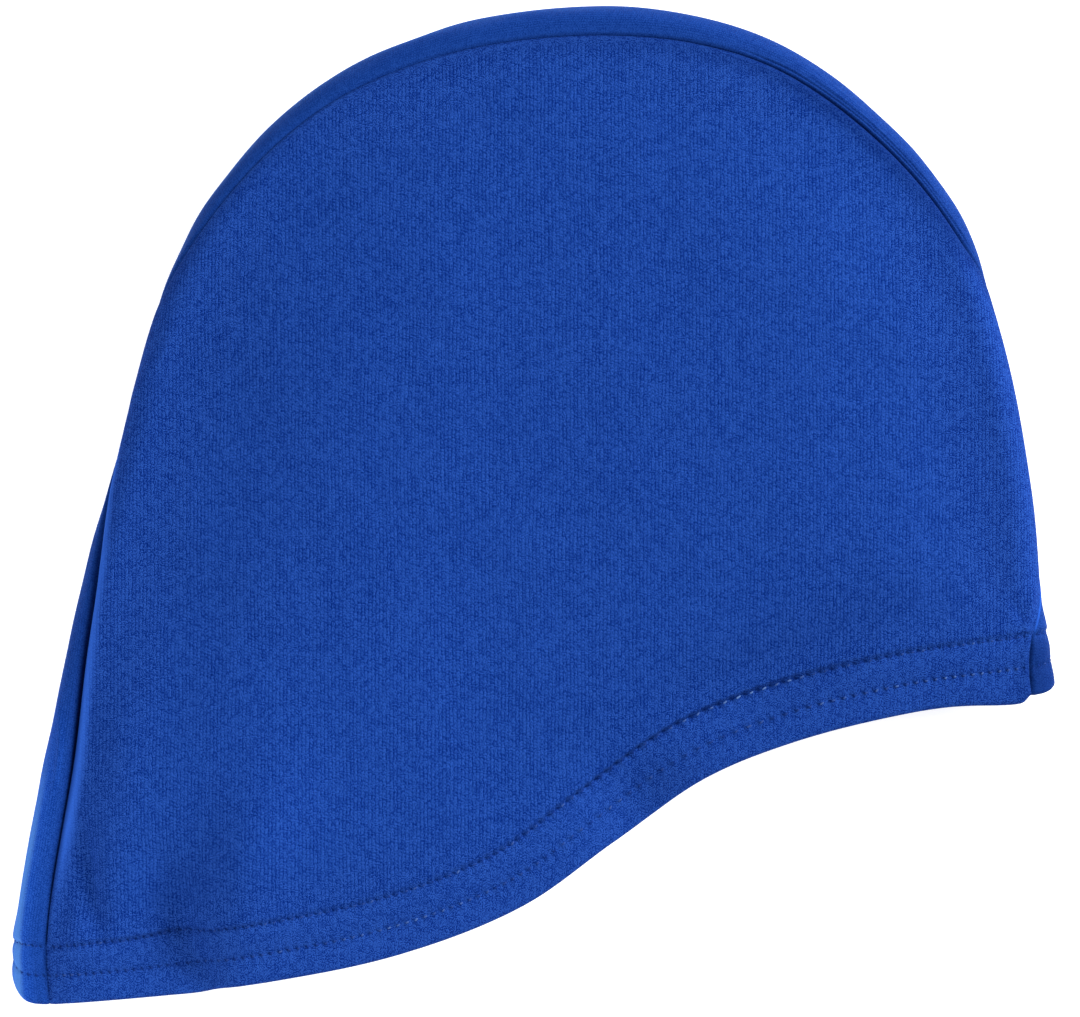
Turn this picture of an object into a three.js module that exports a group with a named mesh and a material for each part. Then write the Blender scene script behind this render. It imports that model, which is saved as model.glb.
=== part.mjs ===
// A swim cap of knitted cloth, lying on its left side on a flat surface.
//
// Millimetres. +X is the forehead end, +Y the crown, -Y the opening, +Z up from the surface. The origin is on
// the surface, under the middle of the cap.
//
// The cap is cut as two side panels with one long strip between them, from the forehead over the crown to
// the nape. Lying down, the strip folds into a low C all round the rim: the right side panel rests on its
// upper edge and the left side panel lies flat under it. The lower edge of all three is turned up once, so
// the cloth is double there.

import * as THREE from 'three';
import { mergeVertices } from 'three/addons/utils/BufferGeometryUtils.js';

// Cloth
const CLOTH = 1.0;
const STRIP_WIDTH = 25;
const SEAM_GAP = 0.4;

// Turned-up hem
const HEM_DEPTH = 12.6;
const HEM_CLOTH = 2.0;
const HEM_STEP = 0.6;
const FOLD_NOSE = 0.8;
const HEM_ROWS = [HEM_DEPTH, HEM_DEPTH / 2, FOLD_NOSE, 0];
const BODY_EDGE = HEM_DEPTH + HEM_STEP;

// How the upper side panel stands: it swells between the rim and the hem.
const SWELL = 9.5;
const SWELL_FROM_RIM = 30;
const SWELL_FROM_HEM = 26;
const FOLDS_START = 10;

// The lower hem keeps this far behind the upper one.
const LOWER_HEM_BACK = 1.2;

// Ribs run from the rim to the hem. They leave and arrive square, by a pull of this share of their length,
// and the hem's band turns to meet the seams within this share of its length from each end.
const RIB_PULL = 0.36;
const BAND_ENDS = 0.16;

// Grid
const RIBS = 52;
const RIB_ROWS = 13;
const RIB_GRADING = 1.6;
const STRIP_ROWS = 10;
const SECTION_STEPS = 48;
const WELD = 1e-3;

// The rim seen from above, from the forehead end of the hem over the crown to the nape end.
const RIM_OUTLINE = [
  { x: 109.9, y: -39.0 },
  { x: 107.2, y: -21.6 },
  { x: 104.8, y: 3.0 },
  { x: 98.6, y: 35.1 },
  { x: 90.0, y: 60.3 },
  { x: 75.3, y: 79.2 },
  { x: 54.0, y: 95.5 },
  { x: 32.0, y: 103.1 },
  { x: 7.0, y: 104.5 },
  { x: -20.9, y: 99.4 },
  { x: -46.1, y: 87.2 },
  { x: -66.5, y: 66.6 },
  { x: -78.2, y: 44.5 },
  { x: -86.9, y: 14.0 },
  { x: -94.6, y: -15.3 },
  { x: -102.6, y: -53.1 },
  { x: -107.3, y: -79.0 },
  { x: -109.2, y: -91.5 },
  { x: -109.6, y: -104.2 },
];

// The hem's edge seen from above, from the forehead to the nape.
const HEM_OUTLINE = [
  { x: 104.0, y: -40.6 },
  { x: 79.9, y: -43.3 },
  { x: 54.7, y: -49.4 },
  { x: 35.8, y: -57.1 },
  { x: 16.9, y: -70.4 },
  { x: -2.0, y: -83.8 },
  { x: -27.2, y: -93.7 },
  { x: -52.4, y: -99.1 },
  { x: -77.6, y: -102.5 },
  { x: -103.2, y: -104.4 },
];

// The rim's section at each distance along it: how high the C stands, how far in from the outline its upper
// edge lies, and where on it the upper seam runs, as an angle up from the floor: 90 is the outline itself and
// 180 the top. Under 90 the side panel rolls over the edge and hides the seam.
const RIM_SECTIONS = [
  { along: 0, height: 12.0, reach: 5.2, seam: 172 },
  { along: 11, height: 12.3, reach: 5.4, seam: 160 },
  { along: 20, height: 12.6, reach: 5.9, seam: 116 },
  { along: 29, height: 12.8, reach: 6.3, seam: 88 },
  { along: 50, height: 13.4, reach: 6.3, seam: 81 },
  { along: 74, height: 13.9, reach: 6.3, seam: 84 },
  { along: 87, height: 14.1, reach: 6.3, seam: 103 },
  { along: 96, height: 14.2, reach: 6.3, seam: 131 },
  { along: 106, height: 14.3, reach: 6.3, seam: 146 },
  { along: 124, height: 14.6, reach: 6.3, seam: 156 },
  { along: 150, height: 14.8, reach: 6.3, seam: 165 },
  { along: 192, height: 15.0, reach: 6.4, seam: 179 },
  { along: 237, height: 14.6, reach: 6.3, seam: 169 },
  { along: 276, height: 14.0, reach: 6.3, seam: 150 },
  { along: 294, height: 13.7, reach: 6.3, seam: 136 },
  { along: 308, height: 13.5, reach: 6.3, seam: 116 },
  { along: 322, height: 13.2, reach: 6.3, seam: 90 },
  { along: 338, height: 13.1, reach: 6.3, seam: 84 },
  { along: 353, height: 13.0, reach: 6.3, seam: 98 },
  { along: 369, height: 12.8, reach: 6.3, seam: 130 },
  { along: 391, height: 12.6, reach: 6.3, seam: 152 },
  { along: 413, height: 12.5, reach: 6.3, seam: 171 },
  { along: 464, height: 12.0, reach: 6.3, seam: 177 },
];

// How high the upper hem stands, by its share of the way from the forehead to the nape.
const HEM_HEIGHTS = [
  { share: 0.00, height: 12.2 },
  { share: 0.15, height: 12.6 },
  { share: 0.30, height: 11.6 },
  { share: 0.45, height: 10.9 },
  { share: 0.62, height: 12.0 },
  { share: 0.78, height: 12.2 },
  { share: 0.88, height: 10.8 },
  { share: 1.00, height: 12.2 },
];

// Soft dents and swellings of the upper side panel: middle, size along and across, turn and rise.
const SOFT_FOLDS = [
  { x: -72, y: -86, along: 20, across: 8, turn: 80, rise: -1.6 },
  { x: -88, y: -60, along: 20, across: 10, turn: 75, rise: 1.6 },
  { x: -46, y: -66, along: 22, across: 15, turn: 60, rise: 1.8 },
  { x: 30, y: -44, along: 32, across: 9, turn: 33, rise: -1.8 },
  { x: 74, y: 42, along: 34, across: 15, turn: -40, rise: 1.4 },
  { x: 6, y: 60, along: 40, across: 18, turn: 20, rise: -1.0 },
];

// The last of the strip at each end is bowed back by this much on its outermost line.
const FOREHEAD_BOW = 2.2;
const NAPE_BOW = 4.6;

const CLOTH_LOOK = { color: 0x1c4299, roughness: 0.85, metalness: 0 };
const STRIP_LOOK = { color: 0x2048a4, roughness: 0.8, metalness: 0 };

const DOWN = new THREE.Vector3(0, 0, -1);

/** A smooth curve in plan through the named points. */
function planCurve(table) {
  const points = table.map((row) => new THREE.Vector3(row.x, row.y, 0));
  const curve = new THREE.CatmullRomCurve3(points, false, 'centripetal');
  curve.arcLengthDivisions = 1000;
  return curve;
}

/** Reads the other columns of a table smoothly at a value of its first column. */
function tableReader(table) {
  const [key, ...columns] = Object.keys(table[0]);
  const places = table.map((row) => row[key]);
  const values = table.flatMap((row) => columns.map((column) => row[column]));
  const spline = new THREE.CubicInterpolant(places, values, columns.length, new Float64Array(columns.length));
  return (place) => {
    const found = spline.evaluate(place);
    return Object.fromEntries(columns.map((column, i) => [column, found[i]]));
  };
}

const rim = planCurve(RIM_OUTLINE);
const hem = planCurve(HEM_OUTLINE);
const rimLength = rim.getLength();
const readSection = tableReader(RIM_SECTIONS);
const readHemHeight = tableReader(HEM_HEIGHTS);

/** Rises smoothly from 0 at the edge towards 1, half way at the given distance. */
function easeIn(distance, half) {
  const ratio = (distance / half) ** 2;
  return ratio / (1 + ratio);
}

/** The left-hand normal of a plan direction. */
function leftOf(direction) {
  return new THREE.Vector3(-direction.y, direction.x, 0);
}

/**
 * The rim's section at a distance along it: half an ellipse from the floor, out to the outline and up to the
 * edge of the upper panel, and then level along the floor. Distances on it are measured from its top.
 */
function rimSection(along) {
  const place = THREE.MathUtils.clamp(along / rimLength, 0, 1);
  const foot = rim.getPointAt(place);
  const inward = leftOf(rim.getTangentAt(place));
  const { height, reach, seam } = readSection(along);
  const half = height / 2;
  const angles = [];
  const lengths = [];
  for (let i = 0; i <= SECTION_STEPS; i += 1) {
    const angle = Math.PI * (1 - i / SECTION_STEPS);
    const stepIn = reach * (Math.sin(angle) - Math.sin(angles.at(-1) ?? angle));
    const stepUp = half * (Math.cos(angle) - Math.cos(angles.at(-1) ?? angle));
    lengths.push((lengths.at(-1) ?? 0) + Math.hypot(stepIn, stepUp));
    angles.push(angle);
  }
  const length = lengths.at(-1);
  const seamAngle = THREE.MathUtils.degToRad(Math.min(seam, 180));
  const seamAt = lengthAtAngle(angles, lengths, seamAngle);

  /** The place and the outward normal at a distance from the top of the section. */
  function at(distance) {
    if (distance >= length) {
      const inset = reach + distance - length;
      return { point: foot.clone().addScaledVector(inward, inset), normal: DOWN.clone(), bulge: 0 };
    }
    const angle = angleAtLength(angles, lengths, Math.max(distance, 0));
    const point = foot.clone().addScaledVector(inward, reach * (1 - Math.sin(angle)));
    point.z = half * (1 - Math.cos(angle));
    const normal = inward.clone().multiplyScalar(-Math.sin(angle) / reach);
    normal.z = -Math.cos(angle) / half;
    return { point, normal: normal.normalize(), bulge: Math.sin(angle) };
  }

  return { height, reach, inward, seamAt, at };
}

/** The distance from the top of a section to an angle on it. */
function lengthAtAngle(angles, lengths, angle) {
  const place = (1 - angle / Math.PI) * (angles.length - 1);
  const i = Math.min(Math.floor(place), angles.length - 2);
  return THREE.MathUtils.lerp(lengths[i], lengths[i + 1], place - i);
}

/** The angle on a section at a distance from its top. */
function angleAtLength(angles, lengths, distance) {
  const i = Math.max(lengths.findIndex((length) => length > distance), 1);
  const share = (distance - lengths[i - 1]) / (lengths[i] - lengths[i - 1]);
  return THREE.MathUtils.lerp(angles[i - 1], angles[i], share);
}

/** The height that the soft folds add at a place in plan. */
function foldsAt(x, y) {
  let rise = 0;
  for (const fold of SOFT_FOLDS) {
    const turn = THREE.MathUtils.degToRad(fold.turn);
    const along = ((x - fold.x) * Math.cos(turn) + (y - fold.y) * Math.sin(turn)) / fold.along;
    const across = ((y - fold.y) * Math.cos(turn) - (x - fold.x) * Math.sin(turn)) / fold.across;
    rise += fold.rise * Math.exp(-along * along - across * across);
  }
  return rise;
}

/** The cloth's thickness at a distance from the edge of the hem. */
function clothAt(fromEdge) {
  return fromEdge <= HEM_DEPTH ? HEM_CLOTH : CLOTH;
}

/** The distances along the rim where the ribs stand, from the forehead's hem to the nape's. */
function ribPlaces() {
  const span = rimLength - 2 * BODY_EDGE;
  return Array.from({ length: RIBS + 1 }, (_, i) => BODY_EDGE + (span * i) / RIBS);
}

/** A plan curve from one point to another, leaving and arriving in the given directions. */
function ribCurve(start, leaving, end, arriving) {
  const pull = RIB_PULL * start.distanceTo(end);
  const first = start.clone().addScaledVector(leaving, pull);
  const second = end.clone().addScaledVector(arriving, -pull);
  return new THREE.CubicBezierCurve3(start, first, second, end);
}

/**
 * The hem of a side panel in plan: a band as deep as the hem, whose two ends lie on the seams.
 * seamPoint(along) is the panel's edge beside the strip.
 */
function hemBand(seamPoint, back) {
  /** A point of the band, by its share from forehead to nape and its distance from the hem's edge. */
  function bandPoint(share, fromEdge) {
    const point = plain(share, fromEdge);
    const atForehead = seamPoint(fromEdge).sub(plain(0, fromEdge));
    const atNape = seamPoint(rimLength - fromEdge).sub(plain(1, fromEdge));
    point.addScaledVector(atForehead, Math.max(1 - share / BAND_ENDS, 0) ** 2);
    point.addScaledVector(atNape, Math.max(1 - (1 - share) / BAND_ENDS, 0) ** 2);
    return point;
  }

  /** The same with square ends. */
  function plain(share, fromEdge) {
    const inward = leftOf(hem.getTangentAt(share)).negate();
    return hem.getPointAt(share).addScaledVector(inward, fromEdge + back);
  }

  return bandPoint;
}

/** The normal at each point of a grid, from the faces round it. */
function gridNormals(grid) {
  const sums = new Map();
  const keyOf = (point) => point.toArray().map((value) => value.toFixed(3)).join();
  const addFace = (a, b, c) => {
    const face = b.clone().sub(a).cross(c.clone().sub(a));
    for (const corner of [a, b, c]) {
      const key = keyOf(corner);
      sums.set(key, (sums.get(key) ?? new THREE.Vector3()).add(face));
    }
  };
  forEachCell(grid, addFace);
  return grid.map((line) => line.map((point) => sums.get(keyOf(point)).clone().normalize()));
}

/** Calls addFace(a, b, c) for both triangles of each cell of a grid. */
function forEachCell(grid, addFace) {
  for (let i = 0; i + 1 < grid.length; i += 1) {
    for (let j = 0; j + 1 < grid[i].length; j += 1) {
      addFace(grid[i][j], grid[i][j + 1], grid[i + 1][j]);
      addFace(grid[i + 1][j], grid[i][j + 1], grid[i + 1][j + 1]);
    }
  }
}

/** The four borders of a grid as one closed line. */
function borderOf(grid) {
  const last = grid.length - 1;
  const first = grid[0].slice(0, -1);
  const far = grid.slice(0, -1).map((line) => line.at(-1));
  const second = grid[last].slice(1).reverse();
  const near = grid.slice(1).reverse().map((line) => line[0]);
  return [...first, ...far, ...second, ...near];
}

/** One closed wall of cloth from the grids of its outer and inner faces. Faces with no area are left out. */
function clothWall(outer, inner) {
  const corners = [];
  const addFace = (a, b, c) => corners.push(a, b, c);
  forEachCell(outer, addFace);
  forEachCell(inner, (a, b, c) => addFace(a, c, b));
  const outerBorder = borderOf(outer);
  const innerBorder = borderOf(inner);
  outerBorder.forEach((point, i) => {
    const next = (i + 1) % outerBorder.length;
    addFace(point, innerBorder[i], outerBorder[next]);
    addFace(outerBorder[next], innerBorder[i], innerBorder[next]);
  });
  const loose = new THREE.BufferGeometry().setFromPoints(corners);
  const merged = mergeVertices(loose, WELD);
  const kept = [];
  const index = merged.getIndex().array;
  for (let i = 0; i < index.length; i += 3) {
    const [a, b, c] = index.slice(i, i + 3);
    if (a !== b && b !== c && c !== a) {
      kept.push(a, b, c);
    }
  }
  merged.setIndex(kept);
  merged.computeVertexNormals();
  return merged;
}

/** The inner face of a wall: the outer one moved in by the cloth's thickness. */
function innerGrid(outer, normals, thickness) {
  return outer.map((line, i) => line.map((point, j) => {
    return point.clone().addScaledVector(normals[i][j], -thickness[i][j]);
  }));
}

/** Draws the outer face in to half the cloth at the fold of the hem, so that both faces meet there. */
function closeFold(point, normal) {
  point.addScaledVector(normal, -HEM_CLOTH / 2);
}

/** The height of the upper side panel at a place, by its distances from the rim's top and the hem's edge. */
function upperHeight(rimHeight, hemHeight, fromRim, fromEdge, place) {
  const blend = THREE.MathUtils.smoothstep(fromRim / (fromRim + fromEdge), 0, 1);
  const swell = SWELL * easeIn(fromRim, SWELL_FROM_RIM) * easeIn(fromEdge, SWELL_FROM_HEM);
  const folds = foldsAt(place.x, place.y) * easeIn(fromRim, FOLDS_START);
  return THREE.MathUtils.lerp(rimHeight, hemHeight, blend) + swell + folds;
}

/** The upper panel's edge at the seam with the strip, at a distance along the rim. */
function upperSeamEdge(along) {
  const section = rimSection(along);
  return section.at(section.seamAt - SEAM_GAP / 2).point;
}

/** The lower panel's edge at the seam with the strip, at a distance along the rim. */
function lowerSeamEdge(along) {
  const section = rimSection(along);
  return section.at(section.seamAt + STRIP_WIDTH + SEAM_GAP / 2).point;
}

/** A rib of the upper panel: over the rim where the seam lies under it, and then across to the hem. */
function upperRib(along, share, band) {
  const section = rimSection(along);
  const landing = band(share, BODY_EDGE);
  const arriving = band(share, 0).sub(landing).normalize();
  const curve = ribCurve(section.at(0).point.setZ(0), section.inward, landing, arriving);
  const flatLength = curve.getLength();
  const rolled = section.seamAt - SEAM_GAP / 2;
  const hemHeight = readHemHeight(share).height;
  const line = [];
  for (let j = 0; j <= RIB_ROWS; j += 1) {
    const inset = (rolled + flatLength) * (j / RIB_ROWS) ** RIB_GRADING - rolled;
    if (inset < 0) {
      line.push(section.at(-inset).point);
    } else {
      const point = curve.getPointAt(Math.min(inset / flatLength, 1));
      const fromEdge = flatLength - inset + BODY_EDGE;
      point.z = upperHeight(section.height, hemHeight, inset, fromEdge, point);
      line.push(point);
    }
  }
  for (const fromEdge of HEM_ROWS) {
    const point = band(share, fromEdge);
    point.z = upperHeight(section.height, hemHeight, flatLength + BODY_EDGE - fromEdge, fromEdge, point);
    line.push(point);
  }
  return { line, seamNormals: [section.at(section.seamAt).normal] };
}

/** The end of the upper panel, where the ribs have shrunk to a corner and the hem lies along the seam. */
function upperCorner(alongAt) {
  const cornerRows = Array.from({ length: RIB_ROWS + 1 }, () => BODY_EDGE);
  const places = [...cornerRows, ...HEM_ROWS].map(alongAt);
  const seamNormals = places.map((along) => {
    const section = rimSection(along);
    return section.at(section.seamAt).normal;
  });
  return { line: places.map(upperSeamEdge), seamNormals };
}

/** The panel that lies on top, from its seam with the strip down to its hem. */
function rightSidePanel() {
  const band = hemBand((along) => upperSeamEdge(along).setZ(0), 0);
  const ribs = ribPlaces().map((along, i) => upperRib(along, i / RIBS, band));
  ribs[0] = upperCorner((fromEdge) => fromEdge);
  ribs[RIBS] = upperCorner((fromEdge) => rimLength - fromEdge);
  ribs.reverse();
  const grid = ribs.map((rib) => rib.line);
  const normals = gridNormals(grid);
  ribs.forEach((rib, i) => normals[i].splice(0, rib.seamNormals.length, ...rib.seamNormals));
  return panelWall(grid, normals);
}

/** The panel that lies flat on the surface, from its seam with the strip out to its hem. */
function leftSidePanel() {
  const band = hemBand(lowerSeamEdge, LOWER_HEM_BACK);
  const grid = ribPlaces().map((along, i) => {
    const share = i / RIBS;
    const start = lowerSeamEdge(along);
    const landing = band(share, BODY_EDGE);
    const arriving = band(share, 0).sub(landing).normalize();
    const curve = ribCurve(start, rimSection(along).inward, landing, arriving);
    const shares = Array.from({ length: RIB_ROWS + 1 }, (_, j) => (j / RIB_ROWS) ** RIB_GRADING);
    const body = shares.map((part) => curve.getPointAt(part));
    return [...body, ...HEM_ROWS.map((fromEdge) => band(share, fromEdge))];
  });
  return panelWall(grid, grid.map((line) => line.map(() => DOWN.clone())));
}

/** A side panel's wall from its outer grid: single cloth, double in the hem, and closed at the fold. */
function panelWall(grid, normals) {
  const thickness = grid.map((line) => line.map((_, j) => {
    const fromEdge = HEM_ROWS[j - RIB_ROWS - 1] ?? BODY_EDGE;
    return fromEdge > 0 ? clothAt(fromEdge) : 0;
  }));
  grid.forEach((line, i) => closeFold(line.at(-1), normals[i].at(-1)));
  return clothWall(grid, innerGrid(grid, normals, thickness));
}

/** The strip between the side panels, folded round the rim, with a hem at each end. */
function centrePanel() {
  const forehead = HEM_ROWS.toReversed();
  const nape = HEM_ROWS.map((fromEdge) => rimLength - fromEdge);
  const places = [...forehead, ...ribPlaces(), ...nape];
  const grid = [];
  const normals = [];
  const thickness = [];
  for (const along of places) {
    const fromEdge = Math.min(along, rimLength - along);
    const bowed = Math.max(1 - fromEdge / BODY_EDGE, 0) * (along < rimLength / 2 ? FOREHEAD_BOW : -NAPE_BOW);
    const straight = rimSection(along);
    const line = [];
    const lineNormals = [];
    for (let j = 0; j <= STRIP_ROWS; j += 1) {
      const across = SEAM_GAP / 2 + ((STRIP_WIDTH - SEAM_GAP) * j) / STRIP_ROWS;
      const { bulge } = straight.at(straight.seamAt + across);
      const section = rimSection(along + bowed * bulge * bulge);
      const { point, normal } = section.at(straight.seamAt + across);
      const edgeAt = j === 0 ? straight.seamAt : straight.seamAt + STRIP_WIDTH;
      const onSeam = j === 0 || j === STRIP_ROWS;
      line.push(point);
      lineNormals.push(onSeam ? straight.at(edgeAt).normal : normal);
    }
    if (fromEdge === 0) {
      line.forEach((point, j) => closeFold(point, lineNormals[j]));
    }
    grid.push(line);
    normals.push(lineNormals);
    thickness.push(line.map(() => (fromEdge > 0 ? clothAt(fromEdge) : 0)));
  }
  return clothWall(grid, innerGrid(grid, normals, thickness));
}

/** A named piece with a material of its own. */
function piece(name, geometry, look) {
  const mesh = new THREE.Mesh(geometry, new THREE.MeshStandardMaterial(look));
  mesh.name = name;
  return mesh;
}

const group = new THREE.Group();
group.name = 'swim_cap';
group.add(piece('right_side_panel', rightSidePanel(), CLOTH_LOOK));
group.add(piece('left_side_panel', leftSidePanel(), CLOTH_LOOK));
group.add(piece('centre_panel', centrePanel(), STRIP_LOOK));

export default group;
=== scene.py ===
"""A knitted swim cap lying on its left side: its cloth, hem stitching, floor, light and camera.

The form follows the solid part's, from the same outlines in millimetres. The cloth's own folds come on top.
Each cloth piece is one closed wall: its face, the fold of the hem, the turned-up layer and the back.
"""
import logging
import math
from dataclasses import dataclass
from enum import Enum

import bmesh
import bpy
import numpy as np
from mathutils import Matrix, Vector
from mathutils.kdtree import KDTree


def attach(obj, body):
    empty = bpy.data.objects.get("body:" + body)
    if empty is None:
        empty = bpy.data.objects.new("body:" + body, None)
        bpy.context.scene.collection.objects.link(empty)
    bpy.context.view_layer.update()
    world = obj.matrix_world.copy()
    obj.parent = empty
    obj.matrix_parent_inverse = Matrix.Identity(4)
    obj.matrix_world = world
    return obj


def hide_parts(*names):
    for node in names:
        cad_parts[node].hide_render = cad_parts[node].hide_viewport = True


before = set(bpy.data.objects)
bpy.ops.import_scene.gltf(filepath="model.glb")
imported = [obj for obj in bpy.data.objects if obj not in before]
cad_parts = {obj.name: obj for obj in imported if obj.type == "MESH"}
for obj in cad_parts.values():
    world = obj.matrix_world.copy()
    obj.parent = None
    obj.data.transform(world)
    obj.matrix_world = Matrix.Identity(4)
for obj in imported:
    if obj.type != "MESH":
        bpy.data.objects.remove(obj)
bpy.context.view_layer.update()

LOG = logging.getLogger("swim_cap")
MM = 0.001
SEED = 7

# The strip's width, and the hem's depth and double cloth, as in the solid part.
STRIP_WIDTH = 25.0
HEM_DEPTH = 12.6
HEM_CLOTH = 2.0

# Where the body ends above the hem, and how far the lower panel's hem lies behind the upper one's.
BODY_EDGE = 13.2
LOWER_HEM_BACK = 1.2

# How far a rib's curve keeps its direction at both ends, as a share of its span.
RIB_PULL = 0.36

# The share of the hem at each end that turns to meet the seams.
BAND_ENDS = 0.16

# How far the upper panel swells, and how far from the rim and the hem it and its folds have risen half way.
SWELL = 9.5
SWELL_FROM_RIM = 30.0
SWELL_FROM_HEM = 26.0
FOLDS_START = 10.0

# How far the strip's ends are bowed on the rim.
FOREHEAD_ROUND = 1.0
NAPE_ROUND = 5.4

# The rim in plan, from the forehead's hem over the crown to the nape's.
RIM_OUTLINE = (
    (109.9, -39.0), (107.2, -21.6), (104.8, 3.0), (98.6, 35.1), (90.0, 60.3), (75.3, 79.2), (54.0, 95.5),
    (32.0, 103.1), (7.0, 104.5), (-20.9, 99.4), (-46.1, 87.2), (-66.5, 66.6), (-78.2, 44.5), (-86.9, 14.0),
    (-94.6, -15.3), (-102.6, -53.1), (-107.3, -79.0), (-109.2, -91.5), (-109.6, -104.2),
)

# The edge of the hem in plan, from the forehead to the nape.
HEM_OUTLINE = (
    (104.0, -40.6), (79.9, -43.3), (54.7, -49.4), (35.8, -57.1), (16.9, -70.4), (-2.0, -83.8),
    (-27.2, -93.7), (-52.4, -99.1), (-77.6, -102.5), (-103.2, -104.4),
)

# The rim's section at distances along it: height, reach inward and the upper seam's angle on it.
RIM_SECTIONS = (
    (0, 12.0, 7.0, 170), (11, 12.3, 7.0, 155), (20, 12.6, 6.6, 112), (29, 12.8, 6.3, 78),
    (50, 13.4, 6.3, 70), (74, 13.9, 6.3, 74), (87, 14.1, 6.3, 102), (96, 14.2, 6.4, 138),
    (106, 14.3, 6.4, 152), (124, 14.6, 6.5, 160), (150, 14.8, 6.6, 169), (192, 15.0, 7.0, 179),
    (237, 14.6, 6.7, 171), (276, 14.0, 6.4, 154), (294, 13.7, 6.4, 141), (308, 13.5, 6.3, 116),
    (322, 13.2, 6.3, 80), (338, 13.1, 6.3, 78), (353, 13.0, 6.3, 106), (369, 12.8, 6.4, 136),
    (391, 12.6, 6.5, 156), (413, 12.5, 7.0, 173), (440, 12.2, 7.3, 175), (464, 12.0, 9.0, 177),
)

# How wide the seams gape, from 0 to 1, by the distance along the rim.
SEAM_GAPE = (
    (0, 0.24), (11, 0.2), (14, 0.0), (30, 0.0), (74, 0.25), (92, 0.4), (130, 0.4), (170, 0.26), (240, 0.16),
    (290, 0.22), (325, 0.35), (342, 0.65), (360, 0.95), (404, 1.0), (420, 0.86), (436, 0.76), (449, 0.42),
    (464, 0.36),
)

# Fine lines in the strip beside its seam: distance from it, start and end along the rim, width, depth.
STRIP_LINES = ((1.0, 88, 168, 0.24, 0.45), (1.65, 100, 152, 0.2, 0.34))

# How high the upper hem stands, by its share of the way from the forehead to the nape.
HEM_HEIGHTS = (
    (0.0, 12.2), (0.15, 12.6), (0.3, 12.0), (0.45, 10.9), (0.62, 12.0), (0.78, 12.2), (0.88, 10.8),
    (1.0, 12.2),
)

# How strongly the upper row of stitches pulls the cloth in, by the same share.
HEM_PULL = (
    (0.0, 0.5), (0.12, 0.6), (0.22, 1.1), (0.36, 1.3), (0.46, 0.9), (0.58, 0.5), (0.75, 0.4), (0.86, 0.9),
    (0.92, 0.7), (1.0, 0.7),
)

# Soft dents and swellings of the upper panel: x, y, size along and across, turn in degrees, rise.
SOFT_FOLDS = (
    (-74.5, -91, 16, 8.5, 73, -4.6), (-89.5, -53, 22, 8, 77, 4.0), (-60, -75, 20, 9, 66, 4.9),
    (-98, -92, 60, 46, 45, 3.5), (42, -40, 32, 9, 28, -3.4), (20, -62, 10, 9, 33, -3.4),
    (74, 42, 34, 15, -40, 1.6), (6, 60, 40, 18, 20, -1.8),
)

# The needle's step along the hem, by the share of the way from the forehead to the nape.
STITCH_PITCH = (
    (0.0, 1.8), (0.1, 1.95), (0.24, 2.6), (0.36, 2.7), (0.46, 2.35), (0.58, 2.1), (0.75, 1.95), (0.9, 1.8),
    (1.0, 1.8),
)

# The same along the strip's hems, and how far into a stitch the upper seam lies.
STRIP_PITCH = 1.8
STRIP_PHASE = 0.3

# How clearly the thread of the upper and of the lower row shows, by the share of the way to the nape;
# the paler thread is partly its own colour and partly painted light.
THREAD_SHOWS = (
    (0.0, 0.12, 0.3), (0.1, 0.1, 0.38), (0.18, 0.12, 0.25), (0.215, 0.5, 0.15), (0.25, 0.75, 0.12),
    (0.29, 0.6, 0.12), (0.32, 0.18, 0.1), (0.38, 0.1, 0.08), (0.47, 0.1, 0.1), (0.55, 0.12, 0.2),
    (0.62, 0.15, 0.5), (0.7, 0.12, 0.25), (0.85, 0.06, 0.12), (1.0, 0.06, 0.12),
)

# The distances of the rows of stitches from the fold.
UPPER_ROW = 12.5
LOWER_ROW = 6.1

# Stands for a place that is nowhere near a seam.
FAR = 40.0

# Points closer together than this are one.
WELD = 0.0005

# Nothing lies lower than this over the surface.
CLEARANCE = 0.02

# The steps of the rim's section and of each rib.
SECTION_STEPS = 96
CURVE_STEPS = 40

# On a rib shorter than this the rows beside the seam and above the hem close up.
FULL_RIB = 14.0

# The distances of rows beside a seam.
NEAR_ROWS = np.array([0.0, 0.03, 0.12, 0.25, 0.4, 0.6, 0.85, 1.2, 1.7, 2.4])
STRIP_NEAR_ROWS = np.array([
    0.0, 0.03, 0.12, 0.25, 0.4, 0.55, 0.7, 0.85, 1.0, 1.15, 1.35, 1.5, 1.65, 1.8, 2.0,
])

# The last zone above the hem and the distances of its rows from the body's edge.
LAST_ZONE = 4.0
LAST_ROWS = np.array([3.4, 2.8, 2.3, 1.9, 1.5, 1.2, 0.9, 0.65, 0.45, 0.25, 0.0])

# The rows of the hem's face, by their distance from the fold, and of the fold, by how far round it they lie.
HEM_FACE_ROWS = np.array([
    12.95, 12.7, 12.5, 12.3, 12.05, 11.75, 11.4, 11.0, 10.4, 9.8, 9.2, 8.6, 8.0, 7.5, 7.1, 6.8, 6.5, 6.3, 6.1,
    5.9, 5.65, 5.35, 5.0, 4.5, 3.9, 3.3, 2.7, 2.1, 1.6, 1.25, 1.0,
])
FOLD_TURNS = np.radians([30, 60, 90, 120, 150])
FOLD_FORM_ROWS = np.array([1.0, 0.5, 1 - math.sin(math.radians(60)), 0.0])

# The rows of the turned layer: the distance from the fold and the depth below the face.
TURNED_ROWS = np.array([
    (1.0, 2.0), (2.6, 2.0), (4.4, 2.0), (5.6, 1.9), (6.1, 1.75), (6.6, 1.9), (8.0, 2.0), (10.0, 2.0),
    (11.8, 1.95), (12.5, 1.75), (12.9, 1.7), (13.0, 1.5), (12.95, 1.2), (12.5, 1.0), (12.4, 0.9),
])

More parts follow.
